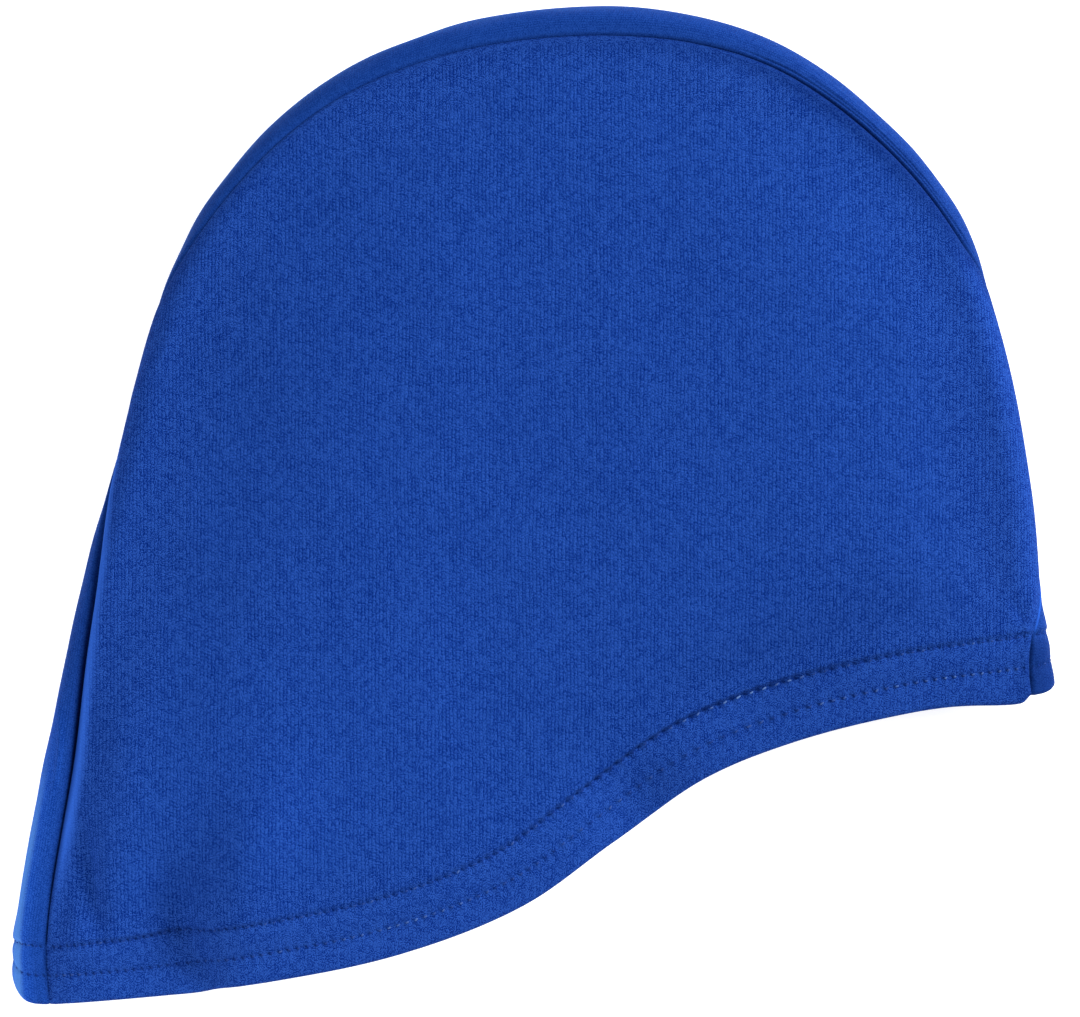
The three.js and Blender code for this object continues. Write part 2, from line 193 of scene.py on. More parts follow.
# The distances of rows of the back from the seam and from the body's edge.
BACK_NEAR_ROWS = np.array([0.0, 0.6, 1.3, 2.4])
BACK_LAST_ROWS = np.array([2.0, 0.0])


class Side(Enum):
    """The two side panels: the upper one shows, the lower one lies on the surface."""

    RIGHT = "right_side_panel"
    LEFT = "left_side_panel"


def bell(distance: np.ndarray, width: float) -> np.ndarray:
    """A bell curve, 1 in the middle."""
    return np.exp(-(distance / width) ** 2)


def smoothstep(value: np.ndarray) -> np.ndarray:
    """Rises smoothly from 0 to 1 as the value does."""
    share = np.clip(value, 0.0, 1.0)
    return share * share * (3.0 - 2.0 * share)


def ease_in(distance: np.ndarray, half: float) -> np.ndarray:
    """Rises smoothly from 0 towards 1, half way at the given distance."""
    ratio = (distance / half) ** 2
    return ratio / (1.0 + ratio)


def read_table(table: tuple, at: np.ndarray) -> list[np.ndarray]:
    """Reads the columns of a table smoothly at values of its first column.

    Args:
        table: Rows of numbers, rising in the first column.
        at: The places to read at.

    Returns:
        One array for each further column.
    """
    rows = np.array(table, dtype=float)
    keys, values = rows[:, 0], rows[:, 1:]
    steps = np.diff(keys)
    rates = np.diff(values, axis=0) / steps[:, None]
    slopes = np.empty_like(values)
    slopes[1:-1] = (values[2:] - values[:-2]) / (keys[2:] - keys[:-2])[:, None]
    slopes[0] = 1.5 * rates[0] - 0.5 * slopes[1]
    slopes[-1] = 1.5 * rates[-1] - 0.5 * slopes[-2]
    low = np.clip(np.searchsorted(keys, at, side="right") - 1, 0, len(keys) - 2)
    width = steps[low]
    t = np.clip((at - keys[low]) / width, 0.0, 1.0)
    read = []
    for column in range(values.shape[1]):
        start, end = values[low, column], values[low + 1, column]
        leave, arrive = slopes[low, column] * width, slopes[low + 1, column] * width
        square, cube = t * t, t * t * t
        read.append(
            (2 * cube - 3 * square + 1) * start + (cube - 2 * square + t) * leave
            + (3 * square - 2 * cube) * end + (cube - square) * arrive
        )
    return read


def blur(values: np.ndarray, spread: float) -> np.ndarray:
    """Smooths a line of values over a number of its steps, keeping its ends and their slopes."""
    reach = int(4 * spread)
    weights = bell(np.arange(-reach, reach + 1), math.sqrt(2) * spread)
    before = 2 * values[0] - values[reach:0:-1]
    after = 2 * values[-1] - values[-2:-reach - 2:-1]
    return np.convolve(np.concatenate([before, values, after]), weights / weights.sum(), mode="valid")


def unit(vectors: np.ndarray) -> np.ndarray:
    """Vectors made 1 long; those with no length are left at 0."""
    length = np.linalg.norm(vectors, axis=-1, keepdims=True)
    return vectors / np.maximum(length, 1e-9)


@dataclass
class PlanCurve:
    """A smooth line in plan through named points, read by the distance along it."""

    points: tuple
    samples: int = 200
    spacing: float = 0.1
    turn_ease: float = 3.0

    def __post_init__(self) -> None:
        """Samples the line evenly and notes which way it heads."""
        path = self._through(np.array(self.points))
        run = np.concatenate([[0.0], np.cumsum(np.linalg.norm(np.diff(path, axis=0), axis=1))])
        self.length = float(run[-1])
        self.run = np.linspace(0.0, self.length, int(self.length / self.spacing) + 1)
        self.path = np.stack([np.interp(self.run, run, path[:, k]) for k in (0, 1)], axis=1)
        steps = np.gradient(self.path, axis=0)
        heading = np.unwrap(np.arctan2(steps[:, 1], steps[:, 0]))
        self.heading = blur(heading, self.turn_ease / self.spacing)

    def _through(self, points: np.ndarray) -> np.ndarray:
        """A centripetal spline through the points."""
        before = 2 * points[0] - points[1]
        after = 2 * points[-1] - points[-2]
        knots = np.vstack([before, points, after])
        t = np.linspace(0.0, 1.0, self.samples, endpoint=False)[:, None]
        parts = []
        for p0, p1, p2, p3 in zip(knots, knots[1:], knots[2:], knots[3:]):
            gaps = [math.sqrt(float(np.linalg.norm(b - a))) for a, b in ((p0, p1), (p1, p2), (p2, p3))]
            leave = (p1 - p0) / gaps[0] - (p2 - p0) / (gaps[0] + gaps[1]) + (p2 - p1) / gaps[1]
            arrive = (p2 - p1) / gaps[1] - (p3 - p1) / (gaps[1] + gaps[2]) + (p3 - p2) / gaps[2]
            leave, arrive = leave * gaps[1], arrive * gaps[1]
            parts.append(
                p1 + leave * t + (3 * (p2 - p1) - 2 * leave - arrive) * t ** 2
                + (2 * (p1 - p2) + leave + arrive) * t ** 3
            )
        return np.vstack([*parts, points[-1:]])

    def point(self, at: np.ndarray) -> np.ndarray:
        """The places at distances along the line."""
        return np.stack([np.interp(at, self.run, self.path[:, k]) for k in (0, 1)], axis=-1)

    def left(self, at: np.ndarray) -> np.ndarray:
        """The directions to the left of the line at distances along it."""
        heading = np.interp(at, self.run, self.heading)
        return np.stack([-np.sin(heading), np.cos(heading)], axis=-1)


RIM = PlanCurve(RIM_OUTLINE)
HEM = PlanCurve(HEM_OUTLINE)


def seam_gape(along: np.ndarray) -> np.ndarray:
    """How wide the seams gape at distances along the rim, from 0 to 1."""
    return np.clip(read_table(SEAM_GAPE, np.clip(along, 0.0, RIM.length))[0], 0.0, 1.0)


class RimSection:
    """The rim's section at many places along it: half an ellipse from the surface, out and up again."""

    def __init__(self, along: np.ndarray) -> None:
        """Reads the sections at distances along the rim."""
        place = np.clip(along, 0.0, RIM.length)
        self.foot = RIM.point(place)
        self.inward = RIM.left(place)
        self.height, self.reach, seam = read_table(RIM_SECTIONS, place)
        self.half = self.height / 2
        angle = np.pi * (1 - np.arange(SECTION_STEPS + 1) / SECTION_STEPS)
        steps = np.hypot(
            self.reach[:, None] * np.diff(np.sin(angle)), self.half[:, None] * np.diff(np.cos(angle))
        )
        self.lengths = np.concatenate([np.zeros((len(place), 1)), np.cumsum(steps, axis=1)], axis=1)
        self.length = self.lengths[:, -1]
        seam_place = (1 - np.minimum(seam, 180.0) / 180.0) * SECTION_STEPS
        low = np.minimum(seam_place.astype(int), SECTION_STEPS - 1)
        each = np.arange(len(place))
        start, end = self.lengths[each, low], self.lengths[each, low + 1]
        self.seam_at = start + (end - start) * (seam_place - low)

    def at(self, distance: np.ndarray) -> tuple[np.ndarray, np.ndarray, np.ndarray]:
        """Reads one place on each section.

        Args:
            distance: Distances from the top of each section, on round to the surface and inward on it.

        Returns:
            The places, the outward normals and how far out the places bulge, from 0 to 1.
        """
        held = np.clip(distance, 0.0, self.length)
        low = np.clip((self.lengths <= held[:, None]).sum(axis=1) - 1, 0, SECTION_STEPS - 1)
        each = np.arange(len(held))
        start, end = self.lengths[each, low], self.lengths[each, low + 1]
        angle = np.pi * (1 - (low + (held - start) / (end - start)) / SECTION_STEPS)
        bulge = np.abs(np.sin(angle))
        inset = self.reach * (1 - bulge) + np.maximum(distance - self.length, 0.0)
        plan = self.foot + self.inward * inset[:, None]
        points = np.column_stack([plan, self.half * (1 - np.cos(angle))])
        slope = -self.inward * (bulge / self.reach)[:, None]
        normals = unit(np.column_stack([slope, -np.cos(angle) / self.half]))
        return points, normals, bulge


def folds_at(x: np.ndarray, y: np.ndarray) -> np.ndarray:
    """The height that the soft folds add at places in plan."""
    rise = np.zeros_like(x)
    for middle_x, middle_y, along, across, turn, height in SOFT_FOLDS:
        c, s = math.cos(math.radians(turn)), math.sin(math.radians(turn))
        u = ((x - middle_x) * c + (y - middle_y) * s) / along
        v = ((y - middle_y) * c - (x - middle_x) * s) / across
        rise += height * np.exp(-u * u - v * v)
    return rise


@dataclass(frozen=True)
class Crease:
    """A small wrinkle of the cloth: a line in plan, how wide it is and how far it stands up."""

    line: tuple
    width: float
    rise: float

    def height(self, x: np.ndarray, y: np.ndarray) -> np.ndarray:
        """The height that the wrinkle adds at places in plan, running out at its ends."""
        best = np.full(x.shape, 1e9)
        place = np.zeros(x.shape)
        ends = np.array(self.line, dtype=float)
        sizes = np.linalg.norm(np.diff(ends, axis=0), axis=1)
        run = 0.0
        for (ax, ay), (bx, by), size in zip(ends, ends[1:], sizes):
            t = np.clip(((x - ax) * (bx - ax) + (y - ay) * (by - ay)) / size ** 2, 0.0, 1.0)
            away = np.hypot(x - ax - t * (bx - ax), y - ay - t * (by - ay))
            closer = away < best
            best = np.where(closer, away, best)
            place = np.where(closer, (run + t * size) / sizes.sum(), place)
            run += size
        return self.rise * bell(best, self.width) * np.sin(np.pi * np.clip(place, 0.0, 1.0)) ** 0.7


PANEL_CREASES = (
    Crease(((-78.5, -70.0), (-76.0, -81.0), (-73.0, -92.0), (-69.0, -100.0), (-60.0, -122.0)), 4.0, -2.3),
    Crease(((-95.0, -64.0), (-93.0, -79.0), (-90.0, -92.0)), 2.8, -2.4),
    Crease(((-74.0, 40.5), (-77.0, 33.5), (-80.5, 28.0), (-84.0, 20.0)), 1.3, 0.5),
    Crease(((-88.4, 8.5), (-90.2, -2.0), (-91.2, -13.0), (-94.5, -25.0)), 1.2, 0.5),
    Crease(((104.9, -17.0), (103.9, -22.0), (102.4, -27.0)), 0.7, 0.45),
)
STRIP_CREASES = (
    Crease(((-99.4, -41.0), (-98.9, -46.0), (-98.9, -50.0), (-99.6, -56.0), (-101.2, -62.0)), 0.55, 0.45),
    Crease(((-104.0, -62.0), (-106.4, -76.0), (-108.3, -92.0)), 0.9, 0.35),
    Crease(((106.3, -17.5), (105.5, -21.5), (104.3, -26.5)), 0.5, 0.7),
    Crease(((37.0, 100.2), (56.0, 91.8), (74.0, 77.0), (86.0, 62.0)), 0.35, 0.16),
    Crease(((45.0, 97.6), (58.0, 91.6), (74.0, 78.2), (84.0, 66.5)), 0.3, 0.13),
    Crease(((-60.0, 75.5), (-50.0, 85.0), (-36.0, 93.5)), 1.1, 0.2),
)


@dataclass(frozen=True)
class SeamGroove:
    """How the cloth rolls down into the seam beside it, more where the seam gapes."""

    roll: float
    closed_roll: float = 0.08
    open_roll: float = 1.25
    wall: float = 0.45
    closed_wall: float = 0.25
    opening: float = 0.15
    open_wall: float = 0.5
    wall_width: float = 0.42
    wall_spread: float = 0.3
    dip: float = 0.4
    closed_dip: float = 0.5
    dip_width: float = 3.6
    notch_share: float = 0.25
    allowance: float = 2.1
    allowance_width: float = 2.6
    open_back_width: float = 1.2

    def rise(self, distance: np.ndarray, gape: np.ndarray) -> np.ndarray:
        """How far the face lies below its form, as a fall below 0.

        Args:
            distance: How far each place is from the seam.
            gape: How wide the seam gapes there, from 0 to 1.
        """
        roll = self.roll * (self.closed_roll + self.open_roll * gape ** 2)
        left = roll - np.minimum(distance, roll)
        round_off = roll - np.sqrt(np.maximum(roll ** 2 - left ** 2, 0.0))
        opened = smoothstep(gape / self.opening)
        standing = self.wall * (self.closed_wall + (1 - self.closed_wall) * opened)
        wall_width = self.wall_width + self.wall_spread * gape
        wall = (standing + self.open_wall * gape ** 2) * bell(distance, wall_width)
        return -round_off - wall - self.dip * (self.closed_dip + gape) * bell(distance, self.dip_width)

    def notch(self, distance: np.ndarray, gape: np.ndarray) -> np.ndarray:
        """How far the fold of the hem is drawn in where the seam runs out."""
        return -self.notch_share * self.rise(distance, gape)

    def depth(self, distance: np.ndarray, gape: np.ndarray) -> np.ndarray:
        """How much deeper the back of the cloth lies beside the seam, where the allowances are."""
        allowance = self.allowance * bell(distance, self.allowance_width)
        return allowance + self.open_wall * gape * bell(distance, self.open_back_width)


@dataclass(frozen=True)
class HemRelief:
    """How the two rows of stitches pull the hem in and let the cloth puff up beside them."""

    upper_groove: float = 0.42
    lower_groove: float = 0.17
    groove_width: float = 0.6
    upper_beads: float = 0.3
    lower_beads: float = 0.4
    ledge: float = 0.1
    bite: float = 0.2
    climb: float = 1.2
    puff: float = 0.6
    puff_top: float = 1.6
    puff_width: float = 3.4
    band: float = 0.2
    band_width: float = 1.9
    lip: float = 0.12
    lip_width: float = 1.6
    pucker: float = 0.035
    pucker_away: float = 1.0
    pucker_width: float = 0.9
    edge_zone: float = 1.5

    def rise(self, from_edge: np.ndarray, phase: np.ndarray, pull: np.ndarray) -> np.ndarray:
        """The relief of the face.

        Args:
            from_edge: Distances from the fold of the hem.
            phase: Where each place lies along the stitches, a whole number at each needle hole.
            pull: How strongly the upper row draws the cloth in, about 1.

        Returns:
            How far the face stands up from its form.
        """
        hole = np.cos(2 * np.pi * phase)
        near = (0.5 + 0.5 * hole) ** 2
        upper_bead, lower_bead = 1 + self.upper_beads * hole, 1 + self.lower_beads * hole
        upper = -self.upper_groove * pull * bell(from_edge - UPPER_ROW, self.groove_width) * upper_bead
        lower = -self.lower_groove * bell(from_edge - LOWER_ROW, self.groove_width) * lower_bead
        ledge = UPPER_ROW + self.ledge + self.bite * near
        climb = smoothstep((from_edge - ledge) / self.climb)
        past_top = np.maximum(from_edge - UPPER_ROW - self.puff_top, 0.0)
        puff = self.puff * pull * climb * bell(past_top, self.puff_width)
        band = self.band * bell(from_edge - (UPPER_ROW + LOWER_ROW) / 2, self.band_width)
        band += self.lip * bell(from_edge - LOWER_ROW / 2, self.lip_width)
        puckers = np.zeros_like(from_edge)
        for row, side in ((UPPER_ROW, -1.0), (LOWER_ROW, 1.0), (LOWER_ROW, -1.0)):
            puckers -= self.pucker * hole * bell(from_edge - row - side * self.pucker_away, self.pucker_width)
        return (upper + lower + puff + band + puckers) * smoothstep(from_edge / self.edge_zone)


class Stitches:
    """Where the needle holes lie along the hem of a side panel."""

    def __init__(self) -> None:
        """Adds up the needle's steps from the forehead to the nape."""
        self.share = np.linspace(0.0, 1.0, 4001)
        pitch = read_table(STITCH_PITCH, self.share)[0]
        steps = (HEM.length / (len(self.share) - 1)) / pitch
        self.count = np.concatenate([[0.0], np.cumsum(steps[1:])])

    def phase(self, share: np.ndarray) -> np.ndarray:
        """How many stitches lie before a place of the hem."""
        return np.interp(share, self.share, self.count)

    def place(self, phase: np.ndarray) -> np.ndarray:
        """The share of the hem at which a number of stitches is reached."""
        return np.interp(phase, self.count, self.share)

    def pitch(self, share: np.ndarray) -> np.ndarray:
        """The length of a stitch at a place of the hem."""
        return read_table(STITCH_PITCH, share)[0]

    def pull(self, phase: np.ndarray) -> np.ndarray:
        """How strongly the upper row draws the cloth in where a number of stitches is reached."""
        return read_table(HEM_PULL, self.place(phase))[0]


STITCHES = Stitches()


class SeamLine:
    """One of the two seams, as a line that distances are measured from."""

    def __init__(self, across: float) -> None:
        """Follows the seam that lies the given distance below the upper seam."""
        along = np.linspace(0.0, RIM.length, int(RIM.length / 0.05))
        self.gape = seam_gape(along)
        section = RimSection(along)
        points = section.at(section.seam_at + across)[0]
        self.tree = KDTree(len(points))
        for i, point in enumerate(points):
            self.tree.insert(point, i)
        self.tree.balance()

    def nearest(self, points: np.ndarray) -> tuple[np.ndarray, np.ndarray]:
        """The distance of each point from the seam, and how wide the seam gapes there."""
        found = [self.tree.find(point)[1:] for point in points.reshape(-1, 3)]
        number, away = (np.array(column) for column in zip(*found))
        shape = points.shape[:-1]
        return away.reshape(shape), self.gape[number.astype(int)].reshape(shape)


def uneven(x: np.ndarray, y: np.ndarray, size: float, seed: int) -> np.ndarray:
    """A smooth, random unevenness of the given size in plan, about 1 high."""
    dice = np.random.default_rng(seed)
    total = np.zeros_like(x)
    waves = 14
    for _ in range(waves):
        turn, shift = dice.uniform(0, 2 * np.pi, 2)
        step = 2 * np.pi / (size * dice.uniform(0.7, 1.6))
        total += np.sin((x * np.cos(turn) + y * np.sin(turn)) * step + shift)
    return total / math.sqrt(waves)


def on_surface(points: np.ndarray) -> np.ndarray:
    """The points, none of them below what the cap lies on."""
    held = points.copy()
    held[..., 2] = np.maximum(held[..., 2], CLEARANCE)
    return held


def grid_normals(grid: np.ndarray) -> np.ndarray:
    """The normals of a grid of points; where the grid has shrunk to a point, its neighbour's is taken."""
    along = np.gradient(grid, axis=0)
    across = np.gradient(grid, axis=1)
    normals = np.cross(along, across)
    size = np.linalg.norm(normals, axis=-1)
    normals = unit(normals)
    for i in range(len(grid) // 2, -1, -1):
        flat = size[i] < 1e-7
        normals[i][flat] = normals[i + 1][flat]
    for i in range(len(grid) // 2, len(grid)):
        flat = size[i] < 1e-7
        normals[i][flat] = normals[i - 1][flat]
    return normals


@dataclass
class Lines:
    """Rows of points with the cloth's grain, the stitching's coordinates and the seam's distance and gape."""

    points: np.ndarray
    grain: np.ndarray
    stitching: np.ndarray
    seam: np.ndarray | None = None

    def column(self, number: int) -> "Lines":
        """One line across a grid of them."""
        seam = None if self.seam is None else self.seam[:, number]
        return Lines(self.points[:, number], self.grain[:, number], self.stitching[:, number], seam)


class ClothWall:
    """Gathers rows of points and joins them into one closed wall of cloth."""

    def __init__(self) -> None:
        """Starts with nothing."""
        self.parts: list[Lines] = []
        self.faces: list[tuple[int, ...]] = []
        self.count = 0

    def row(self, line: Lines) -> np.ndarray:
        """Adds one row and gives the numbers of its points."""
        self.parts.append(line)
        numbers = np.arange(self.count, self.count + len(line.points))
        self.count += len(line.points)
        return numbers

    def columns(self, grid: Lines) -> list[np.ndarray]:
        """Adds a grid, one row for each step across it."""
        return [self.row(grid.column(k)) for k in range(grid.points.shape[1])]

    def close(
        self, face_rows: list[np.ndarray], face_at: list[float],
        back_rows: list[np.ndarray], back_at: list[float],
    ) -> None:
        """Joins the face's rows and then the back's into a closed loop, and fills both its ends.

        Args:
            face_rows: The rows of the face.
            face_at: Where each lies along the ends, rising.
            back_rows: The rows of the back, from the face's last row round to its first.
            back_at: Where each of these lies along the ends, falling.
        """
        loop = [*face_rows, *back_rows, face_rows[0]]
        for first, second in zip(loop, loop[1:]):
            self.join(first, second)
        inner_rows = [face_rows[0], *back_rows[::-1], face_rows[-1]]
        inner_at = np.array([face_at[0], *back_at[::-1], face_at[-1]])
        for end in (0, -1):
            face_end = np.array([row[end] for row in face_rows])
            back_end = np.array([row[end] for row in inner_rows])
            self.join(face_end, back_end, np.array(face_at), inner_at)

    def join(
        self, first: np.ndarray, second: np.ndarray, first_at: np.ndarray | None = None,
        second_at: np.ndarray | None = None,
    ) -> None:
        """Fills the space between two rows.

        Args:
            first: The numbers of one row's points.
            second: The numbers of the other's.
            first_at: Where the first row's points lie along it, evenly where left out.
            second_at: The same for the second row.
        """
        if first_at is None and len(first) == len(second):
            quads = np.stack([first[:-1], first[1:], second[1:], second[:-1]], axis=1)
            self.faces.extend(map(tuple, quads.tolist()))
            return
        a_at = np.linspace(0, 1, len(first)) if first_at is None else first_at
        b_at = np.linspace(0, 1, len(second)) if second_at is None else second_at
        a, b = 0, 0
        while a + 1 < len(first) or b + 1 < len(second):
            step_a = b + 1 >= len(second) or (a + 1 < len(first) and a_at[a + 1] <= b_at[b + 1])
            if step_a:
                face = (int(first[a]), int(first[a + 1]), int(second[b]))
                a += 1
            else:
                face = (int(first[a]), int(second[b + 1]), int(second[b]))
                b += 1
            if len(set(face)) == 3:
                self.faces.append(face)

    def finish(self, name: str) -> bpy.types.Object:
        """Makes the object: welded, closed, facing outward and smooth."""
        points = np.vstack([part.points for part in self.parts]) * MM
        mesh = bpy.data.meshes.new(name)
        mesh.from_pydata(points.tolist(), [], self.faces)
        corners = np.empty(len(mesh.loops), dtype=np.int64)
        mesh.loops.foreach_get("vertex_index", corners)
        seams = [
            np.tile((FAR, 0.0), (len(part.points), 1)) if part.seam is None else part.seam
            for part in self.parts
        ]
        layers = {
            "grain": np.vstack([part.grain for part in self.parts]),
            "stitching": np.vstack([part.stitching for part in self.parts]),
            "seam": np.vstack(seams),
        }
        for label, values in layers.items():
            layer = mesh.uv_layers.new(name=label)
            layer.data.foreach_set("uv", values[corners].astype(np.float32).ravel())
        shape = bmesh.new()
        shape.from_mesh(mesh)
        bmesh.ops.remove_doubles(shape, verts=shape.verts, dist=WELD * MM)
        # Where rows run together, welding leaves fins of faces with a free edge.
        stray = {face for edge in shape.edges if len(edge.link_faces) == 1 for face in edge.link_faces}
        bmesh.ops.delete(shape, geom=list(stray), context="FACES")
        bmesh.ops.recalc_face_normals(shape, faces=shape.faces)
        for face in shape.faces:
            face.smooth = True
        shape.to_mesh(mesh)
        shape.free()
        obj = bpy.data.objects.new(name, mesh)
        bpy.context.collection.objects.link(obj)
        return obj


def crowded_ends(count: int, crowding: float, reach: float) -> np.ndarray:
    """Places from 0 to 1 that stand closer together towards both ends.

    Args:
        count: How many steps there are.
        crowding: How much shorter the first step is than one in the middle, from 0 to 1.
        reach: Over how many steps this wears off.
    """
    number = np.arange(count)
    steps = 1 - crowding * np.exp(-number / reach) - crowding * np.exp(-(count - 1 - number) / reach)
    return np.concatenate([[0.0], np.cumsum(steps)]) / steps.sum()


class Ribs:
    """Lines over a side panel, from its seam with the strip to the top of its hem."""

    def __init__(self, panel: "SidePanel", share: np.ndarray) -> None:
        """Lays the ribs at shares of the way from the forehead to the nape."""
        self.share = share
        self.along = BODY_EDGE + (RIM.length - 2 * BODY_EDGE) * share
        self.section = RimSection(self.along)
        edge = np.full_like(share, BODY_EDGE)
        self.landing = panel.band_plan(share, edge)
        arriving = unit(panel.band_plan(share, edge * 0) - self.landing)
        self.rolled, self.start = panel.rib_start(self.section)
        pull = RIB_PULL * np.linalg.norm(self.landing - self.start, axis=1, keepdims=True)
        self.first = self.start + self.section.inward * pull
        self.second = self.landing - arriving * pull
        steps = np.linspace(0.0, 1.0, CURVE_STEPS + 1)
        path = self.curve(np.repeat(np.arange(len(share)), len(steps)), np.tile(steps, len(share)))
        path = path.reshape(len(share), len(steps), 2)
        sizes = np.linalg.norm(np.diff(path, axis=1), axis=2)
        self.run = np.concatenate([np.zeros((len(share), 1)), np.cumsum(sizes, axis=1)], axis=1)
        self.flat = self.run[:, -1]

    def curve(self, rib: np.ndarray, t: np.ndarray) -> np.ndarray:
        """The places in plan at a share of the curve of a rib."""
        s = 1 - t
        weights = (s ** 3, 3 * s * s * t, 3 * s * t * t, t ** 3)
        corners = (self.start, self.first, self.second, self.landing)
        return sum(corner[rib] * weight[:, None] for corner, weight in zip(corners, weights))

    def at(self, rib: np.ndarray, distance: np.ndarray) -> np.ndarray:
        """The places in plan at a distance along the flat part of a rib."""
        run = self.run[rib]
        held = np.clip(distance, 0.0, self.flat[rib])
        low = np.clip((run <= held[:, None]).sum(axis=1) - 1, 0, CURVE_STEPS - 1)
        each = np.arange(len(rib))
        start, end = run[each, low], run[each, low + 1]
        t = (low + (held - start) / np.maximum(end - start, 1e-9)) / CURVE_STEPS
        return self.curve(rib, t)


@dataclass
class SidePanel:
    """A side of the cap: a wall of cloth from its seam round to its hem, which is turned up once."""

    side: Side
    cloth: float = 0.85
    columns: int = 380
    fine: int = 3
    inner_columns: int = 200
    body_rows: int = 72
    inner_rows: int = 30
    corner_reach: float = 0.022
    slack: float = 1.35
    slack_start: float = 1.3
    slack_top: float = 2.0
    slack_width: float = 10.0
    ease_start: float = -2.0
    ease_width: float = 6.0
    unevenness: float = 0.1
    unevenness_size: float = 26.0
    unevenness_from_seam: float = 12.0
    groove: SeamGroove = SeamGroove(roll=1.5)
    relief: HemRelief = HemRelief()

    @property
    def upper(self) -> bool:
        """Whether this is the panel that lies on top."""
        return self.side is Side.RIGHT

    @property
    def across(self) -> float:
        """How far round the strip this panel's seam lies from the upper one."""
        return 0.0 if self.upper else STRIP_WIDTH

    def rib_start(self, section: RimSection) -> tuple[np.ndarray, np.ndarray]:
        """How far the cloth rolls over the rim, and where in plan the ribs start after that."""
        if self.upper:
            return section.seam_at, section.at(section.seam_at * 0)[0][:, :2]
        return section.seam_at * 0, section.at(section.seam_at + STRIP_WIDTH)[0][:, :2]

    def seam_point(self, along: np.ndarray) -> np.ndarray:
        """The places of this panel's seam at distances along the rim."""
        section = RimSection(along)
        return section.at(section.seam_at + self.across)[0]

    def band_plan(self, share: np.ndarray, from_edge: np.ndarray) -> np.ndarray:
        """The places of the hem's band in plan, with its two ends on the seams."""
        back = 0.0 if self.upper else LOWER_HEM_BACK

        def plain(at: np.ndarray) -> np.ndarray:
            """The same with square ends."""
            run = at * HEM.length
            slack = self.hem_slack(run) * smoothstep(1 - from_edge / LOWER_ROW)
            return HEM.point(run) - HEM.left(run) * (from_edge + back - slack)[:, None]

        at_forehead = self.seam_point(from_edge)[:, :2] - plain(share * 0)
        at_nape = self.seam_point(RIM.length - from_edge)[:, :2] - plain(share * 0 + 1)
        forehead = np.maximum(1 - share / BAND_ENDS, 0.0) ** 2
        nape = np.maximum(1 - (1 - share) / BAND_ENDS, 0.0) ** 2
        return plain(share) + at_forehead * forehead[:, None] + at_nape * nape[:, None]

    def hem_slack(self, run: np.ndarray) -> np.ndarray:
        """How far the hem's edge hangs out beside the front corner, at distances along it."""
        if not self.upper:
            return np.zeros_like(run)
        past_top = np.maximum(run - self.slack_top, 0.0)
        return self.slack * (1 - bell(run, self.slack_start)) * bell(past_top, self.slack_width)

    def height(self, ribs: Ribs, rib: np.ndarray, from_rim: np.ndarray, plan: np.ndarray) -> np.ndarray:
        """The height of the upper panel's form over places in plan."""
        from_edge = ribs.flat[rib] - from_rim + BODY_EDGE
        blend = smoothstep(from_rim / (from_rim + from_edge))
        hem_height = read_table(HEM_HEIGHTS, ribs.share[rib])[0]
        swell = SWELL * ease_in(from_rim, SWELL_FROM_RIM) * ease_in(from_edge, SWELL_FROM_HEM)
        folds = folds_at(plan[:, 0], plan[:, 1]) * ease_in(from_rim, FOLDS_START)
        rim_height = ribs.section.height[rib]
        return rim_height + (hem_height - rim_height) * blend + swell + folds

    def end_drop(self, share: np.ndarray, from_edge: np.ndarray) -> np.ndarray:
        """How far the hem's band moves down or up towards its ends, to meet the seams there."""
        drop = np.zeros_like(from_edge)
        for end, along in ((0.0, from_edge), (1.0, RIM.length - from_edge)):
            weight = np.maximum(1 - np.abs(share - end) / BAND_ENDS, 0.0) ** 2
            seam = self.seam_point(along)
            last = Ribs(self, np.array([end]))
            single = np.zeros(len(from_edge), dtype=int)
            plain = self.height(last, single, last.flat[single] + BODY_EDGE - from_edge, seam[:, :2])
            drop += weight * (seam[:, 2] - plain)
        return drop

    def band_points(self, share: np.ndarray, from_edge: np.ndarray) -> np.ndarray:
        """The form's places in the hem's band."""
        plan = self.band_plan(share, from_edge)
        if not self.upper:
            return np.column_stack([plan, np.zeros(len(plan))])
        single, back = np.unique(share, return_inverse=True)
        ribs = Ribs(self, single)
        height = self.height(ribs, back, ribs.flat[back] + BODY_EDGE - from_edge, plan)
        return np.column_stack([plan, height + self.end_drop(share, from_edge)])

    def outward(self, points: np.ndarray) -> np.ndarray:
        """The normals of a grid that runs from forehead to nape and from seam to hem."""
        if self.upper:
            return grid_normals(points)
        return np.broadcast_to(np.array([0.0, 0.0, -1.0]), points.shape).copy()

    def band_grid(self, share: np.ndarray, from_edge: np.ndarray) -> tuple[Lines, np.ndarray]:
        """The form of the hem's band.

        Args:
            share: Where the lines across it stand between the forehead and the nape.
            from_edge: The distances of its rows from the fold, from the body's side to the fold.

        Returns:
            The places, one line for each share, and their normals.
        """
        shape = (len(share), len(from_edge))
        each_share, each_edge = np.repeat(share, shape[1]), np.tile(from_edge, shape[0])
        points = self.band_points(each_share, each_edge)
        stitching = np.column_stack([STITCHES.phase(each_share), each_edge])
        lines = Lines(
            points.reshape(*shape, 3), points[:, :2].reshape(*shape, 2), stitching.reshape(*shape, 2)
        )
        return lines, self.outward(lines.points)

